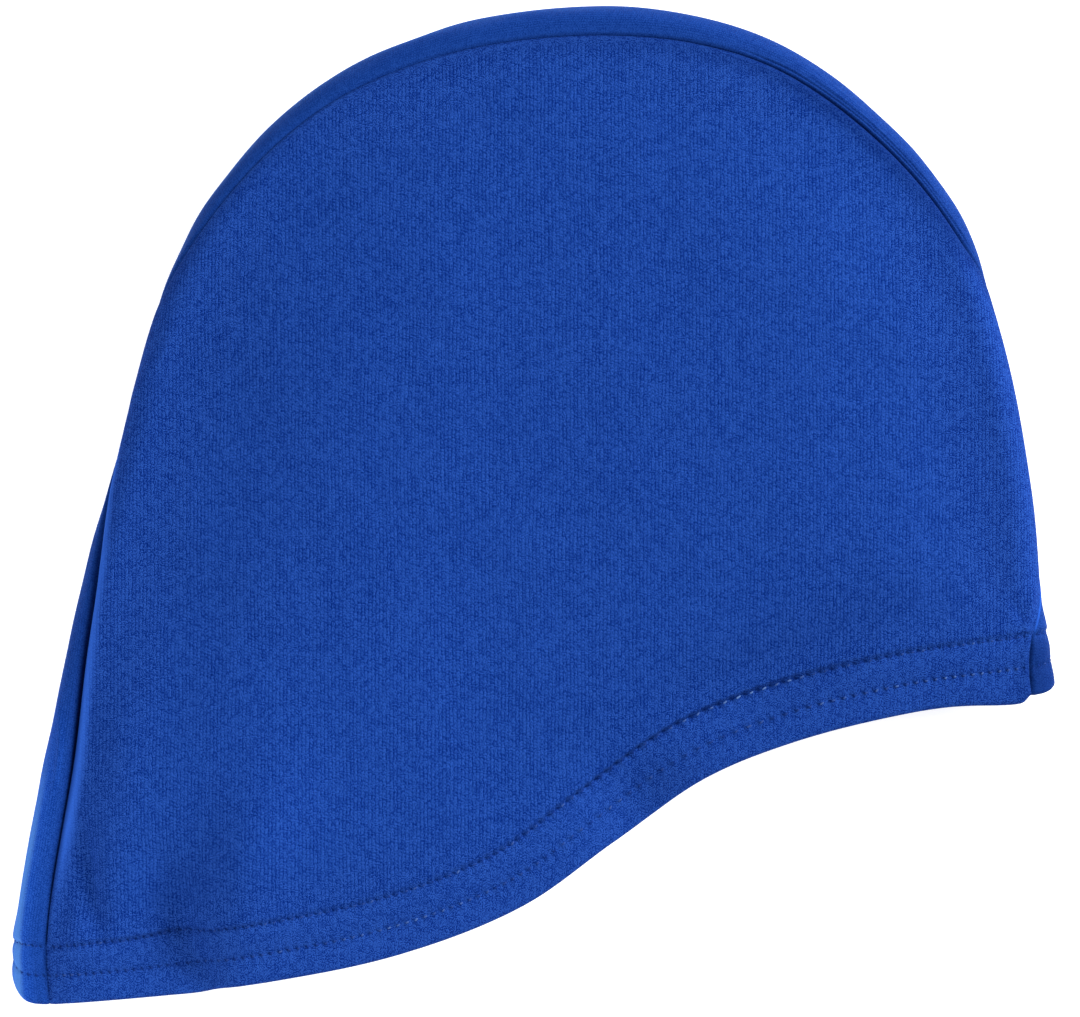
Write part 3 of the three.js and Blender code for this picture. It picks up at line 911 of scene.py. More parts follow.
    def body_grid(self, share: np.ndarray, near: np.ndarray, far: np.ndarray, last: np.ndarray) -> Lines:
        """The form between the seam and the hem.

        Args:
            share: Where the ribs stand between the forehead and the nape.
            near: The distances from the seam of the rows beside it.
            far: The next rows, as shares of the way from those to the last zone beside the hem.
            last: The distances of the rows of that zone from the body's edge, largest first.

        Returns:
            The places, one line for each rib.
        """
        ribs = Ribs(self, share)
        total = ribs.rolled + ribs.flat
        scale = np.minimum(total / FULL_RIB, 1.0)[:, None]
        start = scale * NEAR_ROWS[-1]
        end = total[:, None] - scale * LAST_ZONE
        parts = [scale * near, start + (end - start) * far, total[:, None] - scale * last]
        distance = np.concatenate(parts, axis=1)
        shape = distance.shape
        distance = distance.ravel()
        rib = np.repeat(np.arange(shape[0]), shape[1])
        inset = distance - ribs.rolled[rib]
        plan = ribs.at(rib, inset)
        grain = plan + ribs.section.inward[rib] * np.minimum(inset, 0.0)[:, None]
        if self.upper and near.size:
            ends = grain.reshape(*shape, 2)[:, [0, -1]]
            across = (distance / np.maximum(total, 1e-6)[rib])[:, None]
            straight = ends[rib, 0] + (ends[rib, 1] - ends[rib, 0]) * across
            grain = straight + (grain - straight) * self._corner_share(ribs, rib)
        if self.upper:
            points = self._upper_body(ribs, rib, distance, inset, plan)
        else:
            points = np.column_stack([plan, np.zeros(len(plan))])
        from_edge = total[rib] - distance + BODY_EDGE
        stitching = np.column_stack([STITCHES.phase(share[rib]), from_edge])
        return Lines(points.reshape(*shape, 3), grain.reshape(*shape, 2), stitching.reshape(*shape, 2))

    def _upper_body(
        self, ribs: Ribs, rib: np.ndarray, distance: np.ndarray, inset: np.ndarray, plan: np.ndarray,
    ) -> np.ndarray:
        """The upper panel's form, rolled over the rim and swelling between rim and hem."""
        from_rim = np.maximum(inset, 0.0)
        edge = np.full(len(ribs.share), BODY_EDGE)
        share_in = from_rim / np.maximum(ribs.flat[rib], 1e-6)
        drop = self.end_drop(ribs.share, edge)[rib] * share_in ** 2
        points = np.column_stack([plan, self.height(ribs, rib, from_rim, plan) + drop])
        over = inset < 0
        points[over] = RimSection(ribs.along[rib[over]]).at(-inset[over])[0]
        seam = ribs.section.at(ribs.section.seam_at)[0]
        landing = self.band_points(ribs.share, edge)
        across = (distance / np.maximum(ribs.rolled + ribs.flat, 1e-6)[rib])[:, None]
        straight = seam[rib] + (landing[rib] - seam[rib]) * across
        return straight + (points - straight) * self._corner_share(ribs, rib)

    def _corner_share(self, ribs: Ribs, rib: np.ndarray) -> np.ndarray:
        """How fully a rib follows the form, 0 for those at the very corners, which run straight."""
        ends = np.minimum(ribs.share, 1 - ribs.share)[rib]
        return smoothstep(ends / self.corner_reach)[:, None]

    def small_folds(self, points: np.ndarray, away: np.ndarray) -> np.ndarray:
        """The small wrinkles and the unevenness of the upper panel."""
        if not self.upper:
            return np.zeros(away.shape)
        x, y = points[..., 0], points[..., 1]
        wrinkles = sum(crease.height(x, y) for crease in PANEL_CREASES) * smoothstep(away / 2.0)
        away_share = smoothstep(away / self.unevenness_from_seam)
        return wrinkles + self.unevenness * uneven(x, y, self.unevenness_size, SEED) * away_share

    def folded(self, lines: Lines, normals: np.ndarray, seam: SeamLine) -> tuple[Lines, np.ndarray]:
        """The form moved by the small wrinkles alone, with its normals."""
        away, gape = seam.nearest(lines.points)
        points = lines.points + normals * self.small_folds(lines.points, away)[..., None]
        return Lines(points, lines.grain, lines.stitching, np.stack([away, gape], axis=-1)), normals

    def raised(self, lines: Lines, normals: np.ndarray, seam: SeamLine) -> Lines:
        """The face of the cloth: the form with its seam, stitches and wrinkles."""
        away, gape = seam.nearest(lines.points)
        phase, from_edge = lines.stitching[..., 0], lines.stitching[..., 1]
        rise = self.groove.rise(away, gape) * smoothstep((from_edge - self.ease_start) / self.ease_width)
        rise += self.small_folds(lines.points, away)
        rise += self.relief.rise(from_edge, phase, STITCHES.pull(phase)) * smoothstep(away / 1.5)
        points = on_surface(lines.points + normals * rise[..., None])
        return Lines(points, lines.grain, lines.stitching, np.stack([away, gape], axis=-1))

    def fold_row(self, share: np.ndarray, nose: Lines, normals: np.ndarray, turn: float) -> Lines:
        """One row round the fold of the hem.

        Args:
            share: Where the points stand between the forehead and the nape.
            nose: The form beside the fold, one line for each share.
            normals: Its normals.
            turn: How far round the fold the row lies, 0 at the face and pi at the turned layer.
        """
        edge = 1 - math.sin(turn)
        row = int(np.argmin(np.abs(FOLD_FORM_ROWS - edge)))
        notch = self.groove.notch(nose.seam[:, row, 0], nose.seam[:, row, 1])[:, None]
        outward = HEM.left(share * HEM.length)
        depth = HEM_CLOTH / 2 * (1 - math.cos(turn)) + notch * max(math.cos(turn), 0.0)
        points = nose.points[:, row] - normals[:, row] * depth
        points[:, :2] -= outward * notch * math.sin(turn)
        grain = nose.grain[:, row] + outward * (edge - 1 + turn)
        return Lines(on_surface(points), grain, nose.stitching[:, row], nose.seam[:, row])

    def build(self, name: str) -> bpy.types.Object:
        """Makes the panel's cloth."""
        seam = SeamLine(self.across)
        share = crowded_ends(self.columns, 0.8, 8.0)
        fine = np.interp(np.arange(self.columns * self.fine + 1) / self.fine, np.arange(len(share)), share)
        inner = crowded_ends(self.inner_columns, 0.6, 5.0)
        steps = np.linspace(0.0, 1.0, self.body_rows + 1)[1:]
        none = np.zeros(0)

        body = self.body_grid(share, NEAR_ROWS, steps ** 1.1, none)
        face = self.raised(body, self.outward(body.points), seam)
        puff = self.body_grid(fine, none, none, LAST_ROWS)
        puff_face = self.raised(puff, self.outward(puff.points), seam)
        band, band_normals = self.band_grid(fine, HEM_FACE_ROWS)
        band_face = self.raised(band, band_normals, seam)

        wall = ClothWall()
        face_rows = wall.columns(face) + wall.columns(puff_face) + wall.columns(band_face)
        face_at = [-BODY_EDGE] * (face.points.shape[1] + puff_face.points.shape[1]) + list(-HEM_FACE_ROWS)

        nose, nose_normals = self.folded(*self.band_grid(fine, FOLD_FORM_ROWS), seam)
        back_rows, back_at = [], []
        for turn in FOLD_TURNS:
            rows, places = (face_rows, face_at) if turn <= math.pi / 2 else (back_rows, back_at)
            rows.append(wall.row(self.fold_row(fine, nose, nose_normals, turn)))
            places.append(-(1 - math.sin(turn)))
        edges = np.unique(TURNED_ROWS[:, 0])[::-1]
        turned, turned_normals = self.folded(*self.band_grid(share, edges), seam)
        deeper = 0.5 * self.groove.depth(turned.seam[..., 0], turned.seam[..., 1])
        for edge, depth in TURNED_ROWS:
            column = int(np.argmin(np.abs(edges - edge)))
            below = (depth + deeper[:, column])[:, None]
            points = turned.points[:, column] - turned_normals[:, column] * below
            grain = turned.grain[:, column] + HEM.left(share * HEM.length) * (2 * edge + math.pi - 2)
            back_rows.append(wall.row(Lines(points, grain, turned.stitching[:, column])))
            back_at.append(-edge)
        inner_steps = np.linspace(0.0, 1.0, self.inner_rows + 1)[1:]
        back = self.body_grid(inner, BACK_NEAR_ROWS, inner_steps, BACK_LAST_ROWS)
        away, gape = seam.nearest(back.points)
        depth = self.cloth + self.groove.depth(away, gape) - self.small_folds(back.points, away)
        inside = Lines(back.points - self.outward(back.points) * depth[..., None], back.grain, back.stitching)
        inner_rows = wall.columns(inside)[::-1]
        back_rows += inner_rows
        back_at += [-BODY_EDGE] * len(inner_rows)
        wall.close(face_rows, face_at, back_rows, back_at)
        return wall.finish(name)


@dataclass
class CentrePanel:
    """The strip between the sides, folded round the rim, with a turned-up hem at both its ends."""

    cloth: float = 0.85
    step: float = 1.1
    across_step: float = 0.36
    back_step: float = 2.0
    back_across: int = 22
    pull: float = 0.6
    bow_edge: float = 5.5
    ease_start: float = -2.0
    ease_width: float = 6.0
    line_ends: float = 14.0
    unevenness: float = 0.08
    unevenness_size: float = 16.0
    unevenness_stretch: float = 2.5
    groove: SeamGroove = SeamGroove(roll=1.4)
    relief: HemRelief = HemRelief(puff=0.45, bite=0.45)

    def form(self, along: np.ndarray, across: np.ndarray) -> tuple[np.ndarray, np.ndarray]:
        """The strip's form.

        Args:
            along: Distances along the rim from the forehead.
            across: Distances across the strip from the upper seam.

        Returns:
            The places and the outward normals.
        """
        straight = RimSection(along)
        distance = straight.seam_at + across
        bulge = straight.at(distance)[2]
        from_edge = np.minimum(along, RIM.length - along)
        corner = np.where(along < RIM.length / 2, FOREHEAD_ROUND, -NAPE_ROUND)
        shift = np.maximum(1 - from_edge / BODY_EDGE, 0.0) * corner * bulge ** self.bow_edge
        points, normals, _ = RimSection(along + shift).at(distance)
        return points, normals

    def grid(self, along: np.ndarray, across: np.ndarray) -> tuple[Lines, np.ndarray]:
        """The form on a grid, one line for each step across, with its normals."""
        shape = (len(across), len(along))
        each_across, each_along = np.repeat(across, shape[1]), np.tile(along, shape[0])
        points, normals = self.form(each_along, each_across)
        grain = np.column_stack([each_across, each_along])
        from_edge = np.minimum(each_along, RIM.length - each_along)
        stitching = np.column_stack([each_across / STRIP_PITCH + STRIP_PHASE, from_edge])
        lines = Lines(points.reshape(*shape, 3), grain.reshape(*shape, 2), stitching.reshape(*shape, 2))
        return lines, normals.reshape(*shape, 3)

    def raised(self, lines: Lines, normals: np.ndarray) -> Lines:
        """The face of the cloth: the form with its seams, stitches and wrinkles."""
        across, along = lines.grain[..., 0], lines.grain[..., 1]
        phase, from_edge = lines.stitching[..., 0], lines.stitching[..., 1]
        x, y = lines.points[..., 0], lines.points[..., 1]
        beside, gape = np.minimum(across, STRIP_WIDTH - across), seam_gape(along)
        rise = self.groove.rise(across, gape) + self.groove.rise(STRIP_WIDTH - across, gape)
        rise *= smoothstep((from_edge - self.ease_start) / self.ease_width)
        rise += self.relief.rise(from_edge, phase, np.full(phase.shape, self.pull)) * smoothstep(beside / 1.2)
        for place, start, end, width, depth in STRIP_LINES:
            ends = smoothstep((along - start) / self.line_ends) * smoothstep((end - along) / self.line_ends)
            rise -= depth * ends * bell(across - place, width)
        facing = smoothstep((normals[..., 2] + 0.1) / 0.5) * smoothstep(beside / 0.9)
        rise += sum(crease.height(x, y) for crease in STRIP_CREASES) * facing
        stretched = across * self.unevenness_stretch
        rise += self.unevenness * uneven(stretched, along, self.unevenness_size, SEED + 1)
        points = on_surface(lines.points + normals * rise[..., None])
        return Lines(points, lines.grain, lines.stitching, np.stack([beside, gape], axis=-1))

    def _across_rows(self) -> np.ndarray:
        """The steps across the strip, closest beside the seams."""
        near = STRIP_NEAR_ROWS
        count = int((STRIP_WIDTH - 2 * near[-1]) / self.across_step)
        return np.concatenate([
            near[:-1], np.linspace(near[-1], STRIP_WIDTH - near[-1], count), STRIP_WIDTH - near[-2::-1]
        ])

    def _fold_row(self, across: np.ndarray, turn: float, nape: bool) -> tuple[Lines, float]:
        """One row round the fold of a hem.

        Args:
            across: The steps across the strip.
            turn: How far round the fold the row lies, 0 at the face and pi at the turned layer.
            nape: Whether it is the nape's hem.

        Returns:
            The row and where it lies along the rim.
        """
        edge = 1 - math.sin(turn)
        end, way = (RIM.length, -1.0) if nape else (0.0, 1.0)
        lines, normals = self.grid(np.array([end + way * edge, end + way * (edge + 0.5)]), across)
        points, normals = lines.points[:, 0], normals[:, 0]
        inward = unit(lines.points[:, 1] - points)
        beside, gape = np.minimum(across, STRIP_WIDTH - across), seam_gape(np.full(len(across), end))
        notch = self.groove.notch(beside, gape)[:, None]
        depth = HEM_CLOTH / 2 * (1 - math.cos(turn)) + notch * max(math.cos(turn), 0.0)
        points = on_surface(points - normals * depth + inward * notch * math.sin(turn))
        grain = np.column_stack([across, np.full(len(across), end + way * (1 - turn))])
        seam = np.column_stack([beside, gape])
        row = Lines(points[:, None], grain[:, None], lines.stitching[:, :1], seam[:, None])
        return row, end + way * edge

    def _turned_end(self, wall: ClothWall, across: np.ndarray, nape: bool) -> tuple[list, list]:
        """The fold past its nose, and the turned layer of one of the hems, from the fold inward."""
        rows, places = [], []
        for turn in FOLD_TURNS[FOLD_TURNS > math.pi / 2 + 0.01]:
            row, place = self._fold_row(across, turn, nape)
            rows += wall.columns(row)
            places.append(place)
        end, way = (RIM.length, -1.0) if nape else (0.0, 1.0)
        beside = np.minimum(across, STRIP_WIDTH - across)
        deeper = 0.5 * self.groove.depth(beside, seam_gape(np.full(len(across), end)))
        for edge, depth in TURNED_ROWS:
            lines, normals = self.grid(np.array([end + way * edge]), across)
            lines.points -= normals * (depth + deeper)[:, None, None]
            lines.grain[..., 1] = end + way * (2 - math.pi - edge)
            rows += wall.columns(lines)
            places.append(end + way * edge)
        return rows, places

    def build(self, name: str) -> bpy.types.Object:
        """Makes the strip's cloth."""
        wall = ClothWall()
        across = self._across_rows()
        hem = np.concatenate([HEM_FACE_ROWS[::-1], BODY_EDGE + LAST_ROWS[::-1]])
        middle_start = BODY_EDGE + LAST_ZONE
        count = int((RIM.length - 2 * middle_start) / self.step)
        middle = np.linspace(middle_start, RIM.length - middle_start, count)
        along = np.concatenate([hem, middle, RIM.length - hem[::-1]])
        lines, normals = self.grid(along, across)
        face_rows, face_at = wall.columns(self.raised(lines, normals)), along.tolist()
        for turn in FOLD_TURNS[FOLD_TURNS < math.pi / 2 + 0.01]:
            for nape in (False, True):
                lines, place = self._fold_row(across, turn, nape)
                row = wall.columns(lines)
                face_rows = face_rows + row if nape else row + face_rows
                face_at = face_at + [place] if nape else [place] + face_at
        back_across = STRIP_WIDTH * crowded_ends(self.back_across, 0.6, 3.0)
        nape_rows, nape_at = self._turned_end(wall, across, True)
        count = int((RIM.length - 2 * BODY_EDGE) / self.back_step)
        inside = np.linspace(RIM.length - BODY_EDGE, BODY_EDGE, count)
        lines, normals = self.grid(inside, back_across)
        beside, gape = lines.grain[..., 0], seam_gape(lines.grain[..., 1])
        depth = self.cloth + self.groove.depth(beside, gape) + self.groove.depth(STRIP_WIDTH - beside, gape)
        lines.points -= normals * depth[..., None]
        back_rows = wall.columns(lines)
        brow_rows, brow_at = self._turned_end(wall, across, False)
        wall.close(
            face_rows, face_at, [*nape_rows, *back_rows, *brow_rows[::-1]],
            [*nape_at, *inside.tolist(), *brow_at[::-1]],
        )
        return wall.finish(name)


@dataclass
class StitchPlaces:
    """Where the stitches of one piece lie and how they run."""

    centres: np.ndarray
    forward: np.ndarray
    normals: np.ndarray
    pitch: np.ndarray
    shown: np.ndarray


@dataclass
class HemThread:
    """The thread that shows on the hem's face: a short float between two needle holes, many times."""

    length_share: float = 0.36
    width: float = 0.36
    height: float = 0.3
    sink: float = 0.06
    slant: float = 16.0
    jitter: float = 9.0
    ring_points: int = 8
    rings: int = 6
    probe: float = 0.3
    strip_shown: float = 0.15
    shown_jitter: float = 0.14
    shown_edge: float = 1.5
    shown_lift: float = 0.22
    arch: float = 0.25
    length_spread: float = 0.2

    def on_side(self, panel: SidePanel) -> StitchPlaces:
        """Both rows of a side panel's hem."""
        seam = SeamLine(panel.across)
        total = int(STITCHES.count[-1])
        share = STITCHES.place(np.arange(1, total) + 0.5)
        parts = []
        for row in (UPPER_ROW, LOWER_ROW):
            lines, normals = panel.band_grid(share, np.array([row + self.probe, row, row - self.probe]))
            face = panel.raised(lines, normals, seam).points[:, 1]
            forward = unit(np.gradient(face, axis=0))
            centres = face - normals[:, 1] * self.sink
            shown = read_table(THREAD_SHOWS, share)[0 if row == UPPER_ROW else 1]
            parts.append((centres, forward, normals[:, 1], STITCHES.pitch(share), shown))
        return StitchPlaces(*(np.concatenate(group) for group in zip(*parts)))

    def on_strip(self, strip: CentrePanel) -> StitchPlaces:
        """Both rows of both hems of the strip."""
        last = STRIP_WIDTH / STRIP_PITCH + STRIP_PHASE
        across = (np.arange(math.ceil(STRIP_PHASE), math.floor(last)) + 0.5 - STRIP_PHASE) * STRIP_PITCH
        parts = []
        for row in (UPPER_ROW, LOWER_ROW):
            for along in (row, RIM.length - row):
                lines, normals = strip.grid(np.array([along]), across)
                face = strip.raised(lines, normals).points[:, 0]
                forward = unit(np.gradient(face, axis=0))
                centres = face - normals[:, 0] * self.sink
                each = np.ones(len(across))
                parts.append((centres, forward, normals[:, 0], STRIP_PITCH * each, self.strip_shown * each))
        return StitchPlaces(*(np.concatenate(group) for group in zip(*parts)))

    def _one(self) -> tuple[np.ndarray, list[tuple[int, ...]]]:
        """One float of thread, 2 long and 2 thick, with its ends drawn in."""
        bpy.ops.object.select_all(action="DESELECT")
        bpy.ops.mesh.primitive_uv_sphere_add(segments=self.ring_points, ring_count=self.rings, radius=1.0)
        pattern = bpy.context.object
        points = np.array([tuple(vertex.co) for vertex in pattern.data.vertices])
        faces = [tuple(face.vertices) for face in pattern.data.polygons]
        bpy.data.objects.remove(pattern, do_unlink=True)
        points = points[:, [2, 0, 1]]
        full = 1 - np.abs(points[:, :1]) ** 4
        thin = np.hypot(points[:, 1], points[:, 2])[:, None]
        points[:, 1:] *= np.where(thin > 1e-6, np.sqrt(np.maximum(full, 0.0)) / np.maximum(thin, 1e-6), 0.0)
        return points, faces

    def build(self, name: str, places: StitchPlaces, seed: int) -> bpy.types.Object:
        """Makes the stitches as one object.

        Args:
            name: The object's name.
            places: Where the stitches lie.
            seed: Sets how the stitches differ from each other.

        Returns:
            The object, one closed float for each stitch.
        """
        dice = np.random.default_rng(seed)
        count = len(places.centres)
        points, faces = self._one()
        turn = np.radians(self.slant + dice.normal(0, self.jitter, count))[:, None]
        side = np.cross(places.normals, places.forward)
        forward = places.forward * np.cos(turn) + side * np.sin(turn)
        side = np.cross(places.normals, forward)
        lengths = dice.uniform(1 - self.length_spread, 1 + self.length_spread, count)
        sizes = places.pitch * self.length_share * lengths / 2
        shown = np.clip(places.shown + dice.normal(0, self.shown_jitter, count), 0.0, 1.0) ** self.shown_edge
        centres = places.centres + places.normals * (self.shown_lift * shown * self.height)[:, None]
        along, aside, up = (points[None, :, k:k + 1] for k in range(3))
        arched = up + self.arch * (1 - along ** 2)
        shape = (
            centres[:, None] + forward[:, None] * (along * sizes[:, None, None])
            + side[:, None] * aside * (self.width / 2) + places.normals[:, None] * arched * (self.height / 2)
        )
        stride = len(points)
        mesh = bpy.data.meshes.new(name)
        all_faces = [tuple(v + stride * k for v in face) for k in range(count) for face in faces]
        mesh.from_pydata((on_surface(shape).reshape(-1, 3) * MM).tolist(), [], all_faces)
        mesh.shade_smooth()
        # Each stitch's paleness for its material: partly the thread's own paler colour, partly painted light.
        paleness = np.repeat(shown, sum(len(face) for face in faces))
        layer = mesh.uv_layers.new(name="shown")
        layer.data.foreach_set("uv", np.column_stack([paleness, paleness]).astype(np.float32).ravel())
        obj = bpy.data.objects.new(name, mesh)
        bpy.context.collection.objects.link(obj)
        return obj


@dataclass(frozen=True)
class Fade:
    """A smooth change from the first value to the last while a measure runs from start to end."""

    start: float
    end: float
    first: float = 0.0
    last: float = 1.0


class Wiring:
    """Adds nodes to a tree and wires each one as it is added."""

    def __init__(self, tree: bpy.types.NodeTree) -> None:
        """Works on the given tree."""
        self.tree = tree

    def node(self, kind: str, inputs: dict | None = None, **settings: object) -> bpy.types.Node:
        """Adds a node, with its settings and what feeds its inputs."""
        node = self.tree.nodes.new(kind)
        for key, value in settings.items():
            setattr(node, key, value)
        for key, value in (inputs or {}).items():
            self.feed(node.inputs[key], value)
        return node

    def feed(self, socket: bpy.types.NodeSocket, value: object) -> None:
        """Links a socket, or sets its number or colour."""
        if isinstance(value, bpy.types.NodeSocket):
            self.tree.links.new(value, socket)
        else:
            socket.default_value = value

    def math(self, operation: str, *values: object) -> bpy.types.NodeSocket:
        """The result of a Math node."""
        inputs = dict(enumerate(values))
        return self.node("ShaderNodeMath", inputs, operation=operation).outputs[0]

    def product(self, *values: object) -> bpy.types.NodeSocket:
        """The product of several values."""
        total, *others = values
        for value in others:
            total = self.math("MULTIPLY", total, value)
        return total

    def noise(self, vector: object, scale: float, detail: float = 1.0) -> bpy.types.NodeSocket:
        """Smooth noise with about this many features to each unit."""
        inputs = {"Vector": vector, "Scale": scale, "Detail": detail}
        return self.node("ShaderNodeTexNoise", inputs).outputs[0]

    def centred_noise(self, vector: object, scale: float, detail: float = 1.0) -> bpy.types.NodeSocket:
        """The same noise about 0."""
        return self.math("SUBTRACT", self.noise(vector, scale, detail), 0.5)

    def ramp(
        self, value: object, start: object, end: object, first: object, last: object
    ) -> bpy.types.NodeSocket:
        """Runs smoothly from the first result to the last while the value goes from start to end."""
        inputs = {"Value": value, "From Min": start, "From Max": end, "To Min": first, "To Max": last}
        return self.node("ShaderNodeMapRange", inputs, interpolation_type="SMOOTHSTEP").outputs[0]

    def fade(self, value: object, fade: Fade) -> bpy.types.NodeSocket:
        """What a smooth change has come to where its measure has the given value."""
        return self.ramp(value, fade.start, fade.end, fade.first, fade.last)

    def mix(self, share: object, first: object, second: object) -> bpy.types.NodeSocket:
        """A mixture of two colours."""
        node = self.node("ShaderNodeMix", data_type="RGBA")
        for socket, value in ((node.inputs[0], share), (node.inputs[6], first), (node.inputs[7], second)):
            self.feed(socket, value)
        return node.outputs[2]

    def group(self, tree: bpy.types.NodeTree, inputs: dict) -> bpy.types.Node:
        """Adds a node group."""
        node = self.node("ShaderNodeGroup", node_tree=tree)
        for key, value in inputs.items():
            self.feed(node.inputs[key], value)
        return node

    def laid(self, name: str) -> bpy.types.NodeSocket:
        """The coordinates that a mesh carries under a name."""
        return self.node("ShaderNodeUVMap", uv_map=name).outputs[0]

    def split(self, vector: object) -> tuple[bpy.types.NodeSocket, bpy.types.NodeSocket]:
        """The first two numbers of a vector."""
        parts = self.node("ShaderNodeSeparateXYZ", {0: vector}).outputs
        return parts[0], parts[1]

    def surface(self, inputs: dict) -> None:
        """Ends a material's tree with its shader."""
        shader = self.node("ShaderNodeBsdfPrincipled", inputs)
        self.node("ShaderNodeOutputMaterial", {"Surface": shader.outputs[0]})


def new_material(name: str) -> tuple[bpy.types.Material, Wiring]:
    """Starts a material with an empty tree, and gives the tree's wiring with it."""
    material = bpy.data.materials.new(name)
    material.use_nodes = True
    material.node_tree.nodes.clear()
    return material, Wiring(material.node_tree)


def new_group(name: str, inputs: dict, outputs: tuple) -> tuple[Wiring, bpy.types.Node, bpy.types.Node]:
    """Starts a node group.

    Args:
        name: Its name.
        inputs: The kind of each input socket by its name.
        outputs: The names of its value outputs.

    Returns:
        The group's wiring, which holds the group, and its input and output nodes.
    """
    tree = bpy.data.node_groups.new(name, "ShaderNodeTree")
    for label, kind in inputs.items():
        tree.interface.new_socket(label, in_out="INPUT", socket_type=kind)
    for label in outputs:
        tree.interface.new_socket(label, in_out="OUTPUT", socket_type="NodeSocketFloat")
    wiring = Wiring(tree)
    return wiring, wiring.node("NodeGroupInput"), wiring.node("NodeGroupOutput")


@dataclass(frozen=True)
class KnitPattern:
    """Rows of knitted loops: wales side by side, each a chain of slanted loops, a little uneven.

    Scales are features to a millimetre of cloth. Drift, wobble, stagger and lean are in loops.
    """

    drift_scale: float = 0.04
    drift: float = 1.6
    wobble_scale: float = 0.8
    wale_wobble: float = 0.25
    course_wobble: float = 1.0
    stagger: float = 0.37
    patch_scale: float = 0.25
    patch_spread: float = 1.2
    patch_level: float = 0.2
    patch_least: float = 0.5
    furrow: float = 0.84
    furrow_edge: float = 2.0
    lean: float = 0.35
    waist: float = 0.2
    speck_scale: float = 4.4
    speck: float = 3.8
    own_shade: float = 0.4
    tone_drop: float = 0.12

    def make(self) -> bpy.types.NodeTree:
        """Makes the node group: how high the cloth stands and how pale it is."""
        inputs = {"Grain": "NodeSocketVector"}
        inputs.update(dict.fromkeys(("Wale", "Course", "Speckle", "Clear"), "NodeSocketFloat"))
        wiring, given, out = new_group("knitted loops", inputs, ("Height", "Tone"))
        grain = given.outputs["Grain"]
        across, along = wiring.split(grain)
        drift = wiring.centred_noise(grain, self.drift_scale)
        wobble = wiring.centred_noise(grain, self.wobble_scale)
        u = wiring.math("DIVIDE", across, given.outputs["Wale"])
        u = wiring.math("ADD", u, wiring.product(drift, self.drift))
        u = wiring.math("ADD", u, wiring.product(wobble, self.wale_wobble))
        wale = wiring.math("FLOOR", u)
        v = wiring.math("DIVIDE", along, given.outputs["Course"])
        v = wiring.math("ADD", v, wiring.product(wobble, self.course_wobble))
        v = wiring.math("MULTIPLY_ADD", wale, self.stagger, v)

        off_middle = wiring.math("SUBTRACT", wiring.math("FRACT", u), 0.5)
        fold = wiring.product(wiring.math("ABSOLUTE", off_middle), 2.0)
        patch = wiring.noise(grain, self.patch_scale)
        patch = wiring.math("MULTIPLY_ADD", patch, self.patch_spread, self.patch_level)
        patch = wiring.math("MINIMUM", wiring.math("MAXIMUM", patch, self.patch_least), 1.0)
        clear = wiring.product(patch, given.outputs["Clear"])
        furrow = wiring.product(wiring.math("POWER", fold, self.furrow_edge), clear)
        lean = wiring.math("ADD", v, wiring.product(fold, self.lean))
        loops = wiring.math("COSINE", wiring.product(lean, 2 * math.pi))
        loops = wiring.math("MULTIPLY_ADD", loops, self.waist, 1 - self.waist)
        ridge = wiring.math("SUBTRACT", 1.0, wiring.product(furrow, self.furrow))
        height = wiring.product(ridge, loops)

        loop = wiring.node("ShaderNodeCombineXYZ", {0: wale, 1: wiring.math("FLOOR", v)}).outputs[0]
        own = wiring.node("ShaderNodeTexWhiteNoise", {"Vector": loop}, noise_dimensions="2D").outputs["Value"]
        own = wiring.product(wiring.math("SUBTRACT", own, 0.5), self.own_shade)
        speck = wiring.product(wiring.centred_noise(grain, self.speck_scale), self.speck)
        speck = wiring.math("ADD", speck, own)
        level = wiring.math("SUBTRACT", height, self.tone_drop)
        tone = wiring.math("MULTIPLY_ADD", speck, given.outputs["Speckle"], level)
        wiring.feed(out.inputs["Height"], height)
        wiring.feed(out.inputs["Tone"], tone)
        return wiring.tree


@dataclass(frozen=True)
class NeedleHoles:
    """The painted shade in the needle holes of both rows of stitches, and the painted shade along the line
    that each row makes.

    The lower row's holes show at the forehead and the nape alone, by the count of stitches from the forehead.
    """

    lift: float = 0.1
    slant: float = -0.2
    spread: float = 2.1
    hole: Fade = Fade(0.14, 0.56, 1.0, 0.0)
    row: Fade = Fade(0.1, 1.5, 1.0, 0.0)
    forehead: Fade = Fade(20.0, 32.0, 1.0, 0.35)
    nape: Fade = Fade(58.0, 76.0)

    def make(self) -> bpy.types.NodeTree:
        """Makes the node group: how deep in a hole and how near a row each place is."""
        wiring, given, out = new_group("needle holes", {"Stitching": "NodeSocketVector"}, ("Hole", "Row"))
        phase, from_edge = wiring.split(given.outputs["Stitching"])
        above = wiring.math("SUBTRACT", from_edge, UPPER_ROW + self.lift)
        lower = wiring.math("ABSOLUTE", wiring.math("SUBTRACT", from_edge, LOWER_ROW))
        part = wiring.math("FRACT", wiring.math("MULTIPLY_ADD", above, self.slant, phase))
        nearest = wiring.math("MINIMUM", part, wiring.math("SUBTRACT", 1.0, part))
        to_hole = wiring.product(nearest, self.spread)
        upper = wiring.math("ABSOLUTE", above)
        lower_shows = wiring.math("MAXIMUM", wiring.fade(phase, self.forehead), wiring.fade(phase, self.nape))
        holes = []
        for off_row, shows in ((upper, 1.0), (lower, lower_shows)):
            squares = (wiring.math("POWER", side, 2.0) for side in (to_hole, off_row))
            away = wiring.math("SQRT", wiring.math("ADD", *squares))
            holes.append(wiring.product(wiring.fade(away, self.hole), shows))
        wiring.feed(out.inputs["Hole"], wiring.math("MAXIMUM", *holes))
        wiring.feed(out.inputs["Row"], wiring.fade(wiring.math("MINIMUM", upper, lower), self.row))
        return wiring.tree


